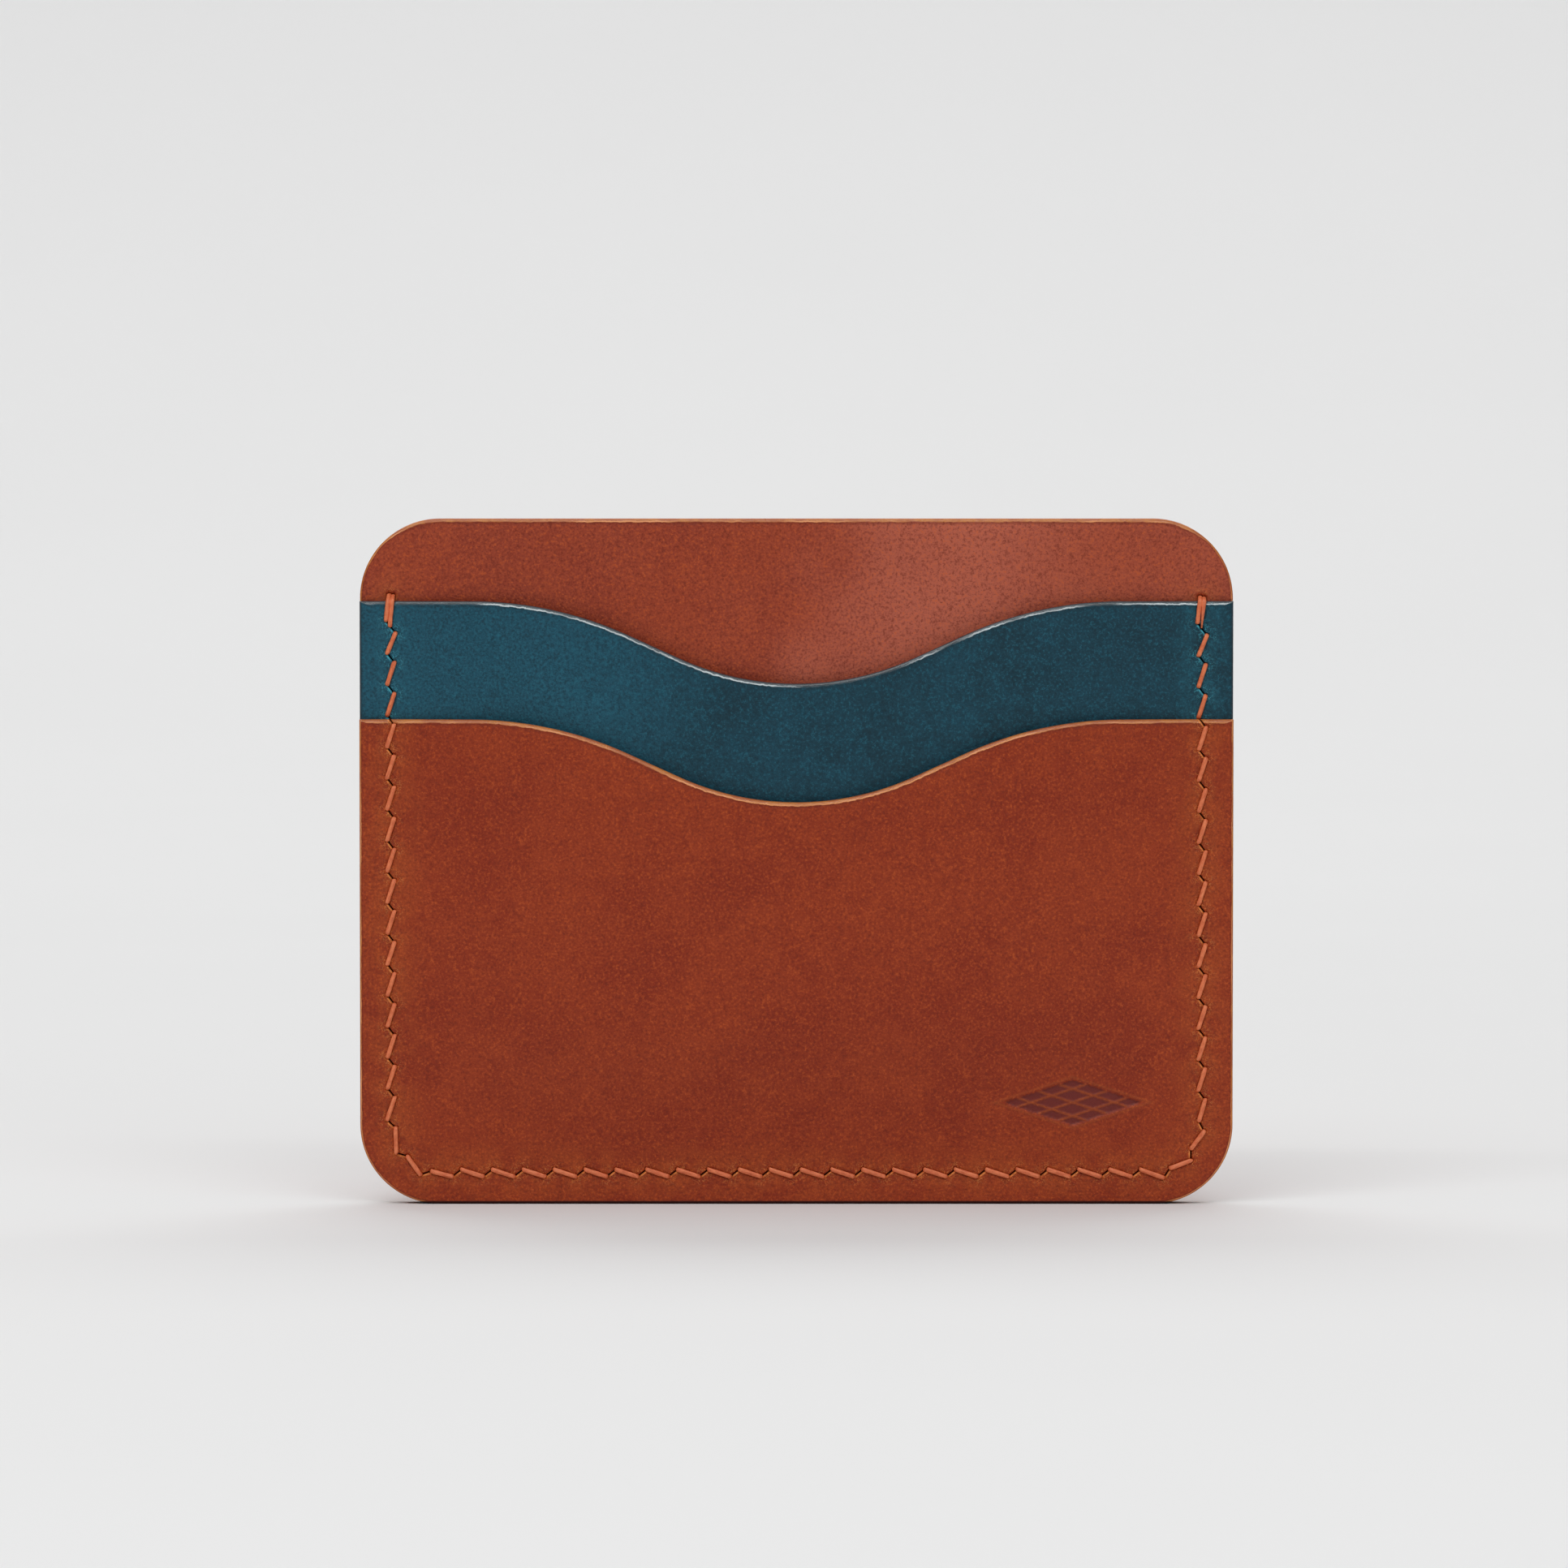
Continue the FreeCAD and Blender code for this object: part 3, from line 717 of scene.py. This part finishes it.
def build_face(panel, face):
    """Triangles of one face: its points, depths, triangles, outline vertices and masks."""
    points = face_points(panel, face)
    count = len(panel.outline)
    edges = [(index, (index + 1) % count) for index in range(count)]
    flat = [Vector((x, z)) for x, z in points]
    found, _, triangles, sources, _, _ = geometry.delaunay_2d_cdt(flat, edges, [], 1, 1e-4)
    place = np.array([(spot.x, spot.y) for spot in found])
    rim = [None] * count
    for number, source in enumerate(sources):
        for original in source:
            if original < count:
                rim[original] = number
    distance = np.maximum(panel.distance(place), 0.0)
    detail, masks = panel.detail(place, face)
    lift = (panel.lift + slow_waves(place, panel.seed)) * pillow(place)
    if face == "front":
        sunk = edge_drop(distance, panel.front_edge(place)) + detail
        depth = panel.front_y + np.minimum(sunk, panel.rear_y - panel.front_y - THINNEST) - lift
    else:
        depth = panel.rear_y - edge_drop(distance, panel.rear_edge(place)) - detail - lift
    masks["inward"] = np.minimum(distance, 6.0) / panel.edge_share(place)
    # Where the painted edge highlight goes: along the mouth or top, and also along the sides and
    # bottom where side_shine is 1.
    upper = panel.upper_edge(place)
    masks["shine"] = upper + panel.side_shine * (1 - upper)
    return place, depth, triangles, rim, masks


# What each point of a face tells its material: the distance in from the edge, how open a slit is,
# and how strongly each kind of marking shows, a painted sheen and a painted edge highlight among
# them.
MASKS = ("inward", "slit", "lip", "crease", "seam", "mark", "ridge", "sheen_and_pale_tone", "shine")


def build_panel(panel):
    """Closed mesh of one panel: its front, its rear and the wall between them."""
    front = build_face(panel, "front")
    rear = build_face(panel, "rear")
    shift = len(front[0])
    vertices = [(x * MM, y * MM, z * MM) for (x, z), y in zip(front[0], front[1])]
    vertices += [(x * MM, y * MM, z * MM) for (x, z), y in zip(rear[0], rear[1])]
    faces = [tuple(triangle) for triangle in front[2]]
    faces += [tuple(number + shift for number in reversed(triangle)) for triangle in rear[2]]
    count = len(panel.outline)
    for index in range(count):
        following = (index + 1) % count
        faces.append((front[3][index], rear[3][index] + shift,
                      rear[3][following] + shift, front[3][following]))
    mesh = bpy.data.meshes.new(panel.name)
    mesh.from_pydata(vertices, [], faces)
    mesh.polygons.foreach_set("use_smooth", [True] * len(faces))
    for name in MASKS:
        values = np.concatenate([side[4].get(name, np.zeros(len(side[0])))
                                 for side in (front, rear)])
        layer = mesh.attributes.new(name, "FLOAT", "POINT")
        layer.data.foreach_set("value", values.astype(np.float32))
    mesh.update()
    piece = bpy.data.objects.new(panel.name, mesh)
    bpy.context.scene.collection.objects.link(piece)
    return piece


# ---------------------------------------------------------------- thread

BEND_RADIUS = 0.27
BEND_SHARES = (0.2, 0.4, 0.6, 0.8, 1.0)
LONGEST_BEND = 0.45
LONGEST_STRAIGHT = 0.35
AROUND = 12
ROUNDED_END = 0.2
BEAD_LENGTH = 0.45
MELTED_BEAD = 0.45


def rounded_route(corners):
    """Centre line of the thread: straight stretches, with a small bend at each corner."""
    points = [np.array(corners[0])]
    for before, corner, after in zip(corners, corners[1:], corners[2:]):
        before, corner, after = np.array(before), np.array(corner), np.array(after)
        back = before - corner
        ahead = after - corner
        room = LONGEST_BEND * min(np.linalg.norm(back), np.linalg.norm(ahead))
        cut = min(BEND_RADIUS, room)
        first = corner + back / np.linalg.norm(back) * cut
        last = corner + ahead / np.linalg.norm(ahead) * cut
        straight = np.linalg.norm(first - points[-1])
        pieces = max(1, int(straight / LONGEST_STRAIGHT))
        start = points[-1]
        points += [start + (first - start) * index / pieces for index in range(1, pieces + 1)]
        for share in BEND_SHARES:
            points.append((1 - share) ** 2 * first + 2 * share * (1 - share) * corner
                          + share ** 2 * last)
    points.append(np.array(corners[-1]))
    return points


def end_scale(from_start, from_end):
    """Thickness of the thread near its ends, which are melted: the front one into a small bead."""
    rounding = min(from_start, from_end) / ROUNDED_END
    scale = math.sqrt(max(0.05, 1 - max(0.0, 1 - rounding) ** 2))
    return scale * (1 + MELTED_BEAD * max(0.0, 1 - from_end / BEAD_LENGTH))


def build_thread():
    """One continuous waxed thread, a little flattened, with rounded melted ends."""
    centres = np.array(rounded_route(route))
    steps = np.linalg.norm(np.diff(centres, axis=0), axis=1)
    centres = centres[np.concatenate([[True], steps > 1e-6])]
    steps = np.linalg.norm(np.diff(centres, axis=0), axis=1)
    travelled = np.concatenate([[0], np.cumsum(steps)])
    tangents = np.gradient(centres, axis=0)
    tangents /= np.linalg.norm(tangents, axis=1)[:, None]
    depth_axis = np.array([0.0, 1.0, 0.0])
    wide = np.cross(tangents[0], depth_axis)
    vertices = []
    for centre, tangent, reach in zip(centres, tangents, travelled):
        wide = wide - tangent * (wide @ tangent)
        wide /= np.linalg.norm(wide)
        flat = np.cross(tangent, depth_axis)
        if np.linalg.norm(flat) > 0.6:
            flat /= np.linalg.norm(flat)
            wide = flat if flat @ wide > 0 else -flat
        high = np.cross(tangent, wide)
        scale = end_scale(reach, travelled[-1] - reach)
        scale *= 1 + 0.035 * math.sin(reach * 2.3) + 0.03 * math.sin(reach * 5.1)
        for turn in range(AROUND):
            angle = 2 * math.pi * turn / AROUND
            offset = (wide * math.cos(angle) * THREAD_WIDTH / 2
                      + high * math.sin(angle) * THREAD_HEIGHT / 2)
            vertices.append(tuple((centre + offset * scale) * MM))
    count = len(centres)
    faces = []
    for low in range(0, (count - 1) * AROUND, AROUND):
        for turn in range(AROUND):
            other = (turn + 1) % AROUND
            faces.append((low + turn, low + other, low + AROUND + other, low + AROUND + turn))
    faces.append(tuple(range(AROUND))[::-1])
    faces.append(tuple((count - 1) * AROUND + turn for turn in range(AROUND)))
    mesh = bpy.data.meshes.new("waxed_thread")
    mesh.from_pydata(vertices, [], faces)
    mesh.polygons.foreach_set("use_smooth", [True] * len(faces))
    angles = 2 * math.pi * (np.arange(len(vertices)) % AROUND) / AROUND
    fibres = {"along": np.repeat(travelled, AROUND), "ring_across": np.cos(angles),
              "ring_up": np.sin(angles)}
    for name, values in fibres.items():
        layer = mesh.attributes.new(name, "FLOAT", "POINT")
        layer.data.foreach_set("value", values.astype(np.float32))
    mesh.update()
    piece = bpy.data.objects.new("waxed_thread", mesh)
    bpy.context.scene.collection.objects.link(piece)
    return piece


# ---------------------------------------------------------------- materials

class Shader:
    """Small helper for node materials."""

    def __init__(self, name):
        self.material = bpy.data.materials.new(name)
        self.material.use_nodes = True
        self.tree = self.material.node_tree
        self.tree.nodes.clear()
        self.output = self.tree.nodes.new("ShaderNodeOutputMaterial")
        self.surface = self.tree.nodes.new("ShaderNodeBsdfPrincipled")
        self.tree.links.new(self.surface.outputs[0], self.output.inputs["Surface"])
        coordinates = self.tree.nodes.new("ShaderNodeTexCoord")
        self.place = self.vector("MULTIPLY", coordinates.outputs["Object"], (1000, 1000, 1000))
        split = self.tree.nodes.new("ShaderNodeSeparateXYZ")
        self.tree.links.new(self.place, split.inputs[0])
        self.height = split.outputs["Z"]

    def put(self, socket, value):
        """Link a socket to another one, or give it a constant."""
        if isinstance(value, bpy.types.NodeSocket):
            self.tree.links.new(value, socket)
        else:
            socket.default_value = value

    def vector(self, operation, first, second):
        """Vector arithmetic on two inputs."""
        node = self.tree.nodes.new("ShaderNodeVectorMath")
        node.operation = operation
        self.put(node.inputs[0], first)
        self.put(node.inputs[1], second)
        return node.outputs[0]

    def math(self, operation, first, second=0.0, clamp=False):
        """Arithmetic on one or two inputs."""
        node = self.tree.nodes.new("ShaderNodeMath")
        node.operation = operation
        node.use_clamp = clamp
        self.put(node.inputs[0], first)
        self.put(node.inputs[1], second)
        return node.outputs[0]

    def ramp(self, value, low, high, to_low=0.0, to_high=1.0):
        """Smooth change from to_low at low to to_high at high."""
        node = self.tree.nodes.new("ShaderNodeMapRange")
        node.interpolation_type = "SMOOTHSTEP"
        self.put(node.inputs["Value"], value)
        self.put(node.inputs["From Min"], low)
        self.put(node.inputs["From Max"], high)
        self.put(node.inputs["To Min"], to_low)
        self.put(node.inputs["To Max"], to_high)
        return node.outputs[0]

    def noise(self, scale, detail=3.0, roughness=0.5, place=None):
        """Cloudy noise around 0.5, with scale in features per millimetre."""
        node = self.tree.nodes.new("ShaderNodeTexNoise")
        self.put(node.inputs["Vector"], self.place if place is None else place)
        node.inputs["Scale"].default_value = scale
        node.inputs["Detail"].default_value = detail
        node.inputs["Roughness"].default_value = roughness
        return node.outputs[0]

    def cells(self, scale):
        """Distance to the nearest of many scattered points."""
        node = self.tree.nodes.new("ShaderNodeTexVoronoi")
        self.put(node.inputs["Vector"], self.place)
        node.inputs["Scale"].default_value = scale
        return node.outputs["Distance"]

    def attribute(self, name):
        """A value stored at the mesh's points."""
        node = self.tree.nodes.new("ShaderNodeAttribute")
        node.attribute_name = name
        return node.outputs["Fac"]

    def mix(self, share, first, second):
        """Colour that goes from the first to the second with the share."""
        node = self.tree.nodes.new("ShaderNodeMix")
        node.data_type = "RGBA"
        self.put(node.inputs["Factor"], share)
        self.put(node.inputs["A"], self.colour(first))
        self.put(node.inputs["B"], self.colour(second))
        return node.outputs["Result"]

    @staticmethod
    def colour(value):
        """A constant colour with its alpha, or a socket as it is."""
        return (*value, 1.0) if isinstance(value, tuple) else value

    def bump(self, height, distance, strength, normal=None):
        """Normal bent by a height, which counts as a distance in millimetres."""
        node = self.tree.nodes.new("ShaderNodeBump")
        node.inputs["Strength"].default_value = strength
        node.inputs["Distance"].default_value = distance * MM
        self.put(node.inputs["Height"], height)
        if normal is not None:
            self.put(node.inputs["Normal"], normal)
        return node.outputs[0]


def scaled(colour, factor):
    """A colour made darker or lighter."""
    return tuple(factor * value for value in colour)


def dyed_face_and_sheen(shader, dark, light, warm, pale):
    """Colour of the plain leather: cloudy dye, warm along the seam, fine specks, a painted sheen
    where the back panel is paler, and the blue leather's paler tone on its left.
    """
    clouds = shader.noise(0.075, 4.0, 0.55)
    patches = shader.noise(0.42, 4.0, 0.6)
    speckle = shader.noise(3.4, 3.0, 0.75)
    cloudy = shader.math("ADD", shader.ramp(clouds, 0.38, 0.62, 0.0, 0.6),
                         shader.ramp(patches, 0.35, 0.65, 0.0, 0.4))
    body = shader.mix(cloudy, dark, light)
    warmth = shader.math("MULTIPLY", shader.attribute("seam"),
                         shader.ramp(patches, 0.35, 0.62, 0.1, 0.55))
    body = shader.mix(warmth, body, warm)
    # Paler colour: on the back panel this is a painted sheen, on the blue leather its own paler
    # tone towards the left.
    sheen_and_tone_share = shader.math("MULTIPLY", shader.attribute("sheen_and_pale_tone"),
                          shader.ramp(speckle, 0.36, 0.64, 0.65, 1.05))
    body = shader.mix(sheen_and_tone_share, body, pale)
    body = shader.mix(shader.ramp(speckle, 0.50, 0.70, 0.0, 0.6), body, scaled(warm, 1.5))
    return shader.mix(shader.ramp(speckle, 0.50, 0.32, 0.0, 0.5), body, scaled(dark, 0.45))


def burnished_edge_and_highlight(shader, body, dark, edge, edge_worn, painted_highlight):
    """Colour with the burnished edge, a painted highlight line along it and a darker band inside
    it, and the mask of that edge.
    """
    ragged = shader.noise(1.3, 3.0, 0.6)
    rim_line = shader.math("ADD", shader.attribute("inward"),
                           shader.ramp(ragged, 0.3, 0.7, -0.05, 0.05))
    # A darker band just inside the edge, over the crease: painted shade of the crease.
    body = shader.mix(shader.ramp(rim_line, 0.85, 0.42, 0.0, 0.45), body, scaled(dark, 0.55))
    rim_colour = shader.mix(shader.ramp(shader.noise(0.5, 3.0, 0.6), 0.4, 0.65), edge, edge_worn)
    rim = shader.ramp(rim_line, 0.40, 0.30)
    body = shader.mix(rim, body, rim_colour)
    # Painted highlight: a pale line along the bevel, uneven along the edge, and on the blue only
    # along its mouth.
    painted_highlight_share = shader.math("MULTIPLY", shader.ramp(rim_line, 0.22, 0.28),
                           shader.ramp(rim_line, 0.43, 0.37))
    painted_highlight_share = shader.math("MULTIPLY", painted_highlight_share, shader.attribute("shine"))
    painted_highlight_share = shader.math("MULTIPLY", painted_highlight_share,
                           shader.ramp(shader.noise(0.13, 2.0, 0.5), 0.40, 0.60, 0.08, 1.0))
    return shader.mix(painted_highlight_share, body, painted_highlight), rim


def worked_details(shader, body, dark, edge, lip, mark):
    """Colour with the slits painted dark as shade, painted highlights on their lower lips, on the
    creases beside them and on the ornament's raised lines, and the ornament's darker sunk field;
    and the masks of the creases and the slits.
    """
    crease = shader.math("ABSOLUTE", shader.math("SUBTRACT", shader.noise(2.1, 2.0, 0.6), 0.5))
    crease = shader.math("MULTIPLY", shader.ramp(crease, 0.030, 0.005),
                         shader.attribute("crease"))
    # Painted highlights: the raised lip below each slit and the thin creases beside it are coloured
    # bright, as if lit from above.
    fibres = shader.math("MULTIPLY", shader.attribute("lip"),
                         shader.ramp(shader.noise(2.2, 2.0, 0.6), 0.36, 0.56, 0.35, 1.0))
    fibres = shader.math("MAXIMUM", fibres, shader.math("MULTIPLY", crease, 0.5))
    body = shader.mix(fibres, body, lip)
    body = shader.mix(shader.math("MULTIPLY", shader.attribute("mark"), 0.9), body, mark)
    # Painted highlight: the ornament's raised lines and border are coloured like the lighter edge,
    # as lit ridges.
    body = shader.mix(shader.math("MULTIPLY", shader.attribute("ridge"), 0.55), body, edge)
    shade = shader.ramp(shader.attribute("slit"), 0.25, 0.75)
    return shader.mix(shade, body, scaled(dark, 0.14)), crease, shade


def leather_grain(shader, crease):
    """Normal of the leather: pebbled grain, creases beside the slits and faint hairlines."""
    pebbles = shader.ramp(shader.cells(3.4), 0.05, 0.55)
    grain = shader.math("ADD", shader.math("MULTIPLY", shader.noise(3.9, 3.0, 0.7), 0.7),
                        shader.math("MULTIPLY", pebbles, 0.3))
    stretched = shader.vector("MULTIPLY", shader.place, (0.10, 0.10, 2.1))
    hairlines = shader.ramp(shader.noise(1.1, 2.0, 0.5, stretched), 0.68, 0.71, 1.0, 0.0)
    normal = shader.bump(grain, 0.085, 0.85)
    normal = shader.bump(crease, 0.05, 0.7, normal)
    return shader.bump(hairlines, 0.006, 0.3, normal)


def leather_material(name, dark, light, warm, edge, edge_worn, painted_highlight, lip, mark, pale, coat):
    """Smooth waxed leather, with painted shade along its foot where it stands on something, a
    painted contact shadow.
    """
    shader = Shader(name)
    body = dyed_face_and_sheen(shader, dark, light, warm, pale)
    body, rim = burnished_edge_and_highlight(shader, body, dark, edge, edge_worn, painted_highlight)
    body, crease, shade = worked_details(shader, body, dark, edge, lip, mark)
    # Painted contact shadow: the leather is coloured nearly black along its lowest few tenths of a
    # millimetre.
    foot = shader.ramp(shader.height, 0.24, 0.42, 1.0, 0.0)
    body = shader.mix(foot, body, scaled(dark, 0.1))
    shader.put(shader.surface.inputs["Base Color"], body)

    gloss = shader.ramp(shader.noise(0.8, 4.0, 0.6), 0.3, 0.7, 0.40, 0.52)
    gloss = shader.math("SUBTRACT", gloss, shader.math("MULTIPLY", rim, 0.14))
    gloss = shader.math("MAXIMUM", gloss, shader.math("MAXIMUM", shade, foot))
    shader.put(shader.surface.inputs["Roughness"], gloss)
    shader.surface.inputs["Specular IOR Level"].default_value = 0.32
    wax = shader.math("MULTIPLY", shader.math("SUBTRACT", rim, foot, clamp=True), coat)
    shader.put(shader.surface.inputs["Coat Weight"], wax)
    shader.surface.inputs["Coat Roughness"].default_value = 0.16
    shader.put(shader.surface.inputs["Normal"], leather_grain(shader, crease))
    return shader.material


def thread_material():
    """Waxed orange thread: lengthwise fibres under a thin coat of wax."""
    shader = Shader("waxed_orange_thread")
    ring = shader.tree.nodes.new("ShaderNodeCombineXYZ")
    for socket, name, factor in ((0, "ring_across", 1.1), (1, "ring_up", 1.1), (2, "along", 0.35)):
        shader.put(ring.inputs[socket], shader.math("MULTIPLY", shader.attribute(name), factor))
    fibres = shader.noise(2.6, 3.0, 0.65, ring.outputs[0])
    worn = shader.noise(1.6, 3.0, 0.6)
    fine = shader.noise(9.0, 2.0, 0.7)
    body = shader.mix(shader.ramp(worn, 0.35, 0.65), (0.72, 0.150, 0.052), (0.86, 0.22, 0.085))
    body = shader.mix(shader.ramp(fibres, 0.50, 0.72, 0.0, 0.6), body, (0.95, 0.36, 0.16))
    body = shader.mix(shader.ramp(fibres, 0.46, 0.28, 0.0, 0.6), body, (0.42, 0.070, 0.024))
    shader.put(shader.surface.inputs["Base Color"], body)
    shader.put(shader.surface.inputs["Roughness"], shader.ramp(fine, 0.3, 0.7, 0.42, 0.62))
    normal = shader.bump(fibres, 0.03, 0.5)
    normal = shader.bump(fine, 0.015, 0.4, normal)
    shader.put(shader.surface.inputs["Normal"], normal)
    return shader.material


def floor_material():
    """Matt, nearly even pale grey."""
    shader = Shader("pale_floor")
    body = shader.mix(shader.noise(0.01, 2.0, 0.5), (0.84, 0.84, 0.84), (0.855, 0.855, 0.855))
    shader.put(shader.surface.inputs["Base Color"], body)
    shader.surface.inputs["Roughness"].default_value = 0.9
    shader.surface.inputs["Specular IOR Level"].default_value = 0.0
    return shader.material


# ---------------------------------------------------------------- the card holder

def make_panels():
    """The three leather panels with their tan and blue leathers."""
    # Tan colours: the pale pinkish one is a painted sheen on the back panel, the light orange
    # edge-line one is a painted highlight, and the bright orange lip one paints highlights beside
    # the slits.
    tan = leather_material(
        "tan_leather", dark=(0.278, 0.025, 0.0036), light=(0.350, 0.041, 0.0064),
        warm=(0.415, 0.072, 0.0100), edge=(0.46, 0.112, 0.022), edge_worn=(0.58, 0.185, 0.028),
        painted_highlight=(0.84, 0.33, 0.12), lip=(1.0, 0.34, 0.085), mark=(0.170, 0.022, 0.018),
        pale=(0.57, 0.150, 0.092), coat=0.35)
    # Blue colours: the near-white edge-line one is a painted highlight, and the pale teal lip one
    # paints highlights beside the slits.
    blue = leather_material(
        "blue_leather", dark=(0.0025, 0.037, 0.059), light=(0.005, 0.060, 0.096),
        warm=(0.010, 0.100, 0.146), edge=(0.010, 0.026, 0.036), edge_worn=(0.02, 0.04, 0.055),
        painted_highlight=(0.66, 0.74, 0.76), lip=(0.10, 0.60, 0.75), mark=(0.01, 0.03, 0.04),
        pale=(0.010, 0.096, 0.150), coat=0.9)
    for panel, node, material, slot in (
            (BackPanel(), "back_panel", tan, "tan_leather"),
            (MiddlePanel(), "middle_panel", blue, "blue_leather"),
            (FrontPanel(), "front_panel", tan, "tan_leather")):
        piece = build_panel(panel)
        piece.data.materials.append(material)
        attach(piece, "root")
        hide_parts(node)


def make_thread():
    """The sewing thread as a piece that replaces its CAD node."""
    piece = build_thread()
    piece.data.materials.append(thread_material())
    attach(piece, "root")
    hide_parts("thread")


# ---------------------------------------------------------------- studio

def make_floor():
    """Pale sweep: a level floor that curves up into a backdrop behind the object."""
    start = 0.7
    bend = 1.3
    front = -0.55
    profile = [(front, 0.0), (start, 0.0)]
    profile += [(start + bend * math.sin(math.radians(angle)),
                 bend - bend * math.cos(math.radians(angle))) for angle in range(4, 81, 4)]
    half = 1.6
    vertices = [(side * half, y, z) for y, z in profile for side in (-1, 1)]
    faces = [(2 * index, 2 * index + 1, 2 * index + 3, 2 * index + 2)
             for index in range(len(profile) - 1)]
    mesh = bpy.data.meshes.new("studio_floor")
    mesh.from_pydata(vertices, [], faces)
    mesh.polygons.foreach_set("use_smooth", [True] * len(faces))
    floor = bpy.data.objects.new("studio_floor", mesh)
    bpy.context.scene.collection.objects.link(floor)
    floor.data.materials.append(floor_material())


def add_light(name, place, target, size, power):
    """A rectangular light at a place, turned towards a target. Metres and watts."""
    data = bpy.data.lights.new(name, "AREA")
    data.shape = "RECTANGLE"
    data.size, data.size_y = size
    data.energy = power
    light = bpy.data.objects.new(name, data)
    light.location = place
    light.rotation_euler = (Vector(target) - Vector(place)).to_track_quat("-Z", "Y").to_euler()
    bpy.context.scene.collection.objects.link(light)


def make_studio():
    """Soft even light: a faint surround and five rectangular lights."""
    world = bpy.data.worlds.new("studio")
    world.use_nodes = True
    world.node_tree.nodes["Background"].inputs["Color"].default_value = (1.0, 1.0, 1.0, 1.0)
    world.node_tree.nodes["Background"].inputs["Strength"].default_value = 0.09
    bpy.context.scene.world = world
    bpy.context.scene.view_settings.view_transform = "Standard"
    middle = (0.0, 0.0, 0.04)
    add_light("key", (-0.45, -0.85, 1.05), middle, (0.9, 0.9), 4.1)
    add_light("fill", (0.45, -0.90, 0.85), middle, (0.9, 0.9), 2.7)
    add_light("strip", (-0.15, -0.80, 1.00), middle, (1.5, 0.10), 2.8)
    add_light("top", (0.0, 0.0, 1.5), middle, (1.8, 1.2), 7.3)
    add_light("backdrop", (0.0, 1.05, 1.15), (0.0, 0.6, 0.0), (2.4, 0.8), 12.3)


CAMERA_ELEVATION = math.radians(3.0)
CAMERA_DISTANCE = 1.0
FRAME_WIDTH = 0.1715
AIM = (-0.00136, 0.0, 0.0460)


def make_camera():
    """A long lens a little above the floor, looking at the front."""
    data = bpy.data.cameras.new("camera")
    data.sensor_width = 36.0
    data.lens = data.sensor_width * CAMERA_DISTANCE / FRAME_WIDTH
    camera = bpy.data.objects.new("camera", data)
    camera.location = (AIM[0], AIM[1] - CAMERA_DISTANCE * math.cos(CAMERA_ELEVATION),
                       AIM[2] + CAMERA_DISTANCE * math.sin(CAMERA_ELEVATION))
    camera.rotation_euler = (math.radians(90) - CAMERA_ELEVATION, 0.0, 0.0)
    bpy.context.scene.collection.objects.link(camera)
    bpy.context.scene.camera = camera


make_panels()
make_thread()
make_floor()
make_studio()
make_camera()
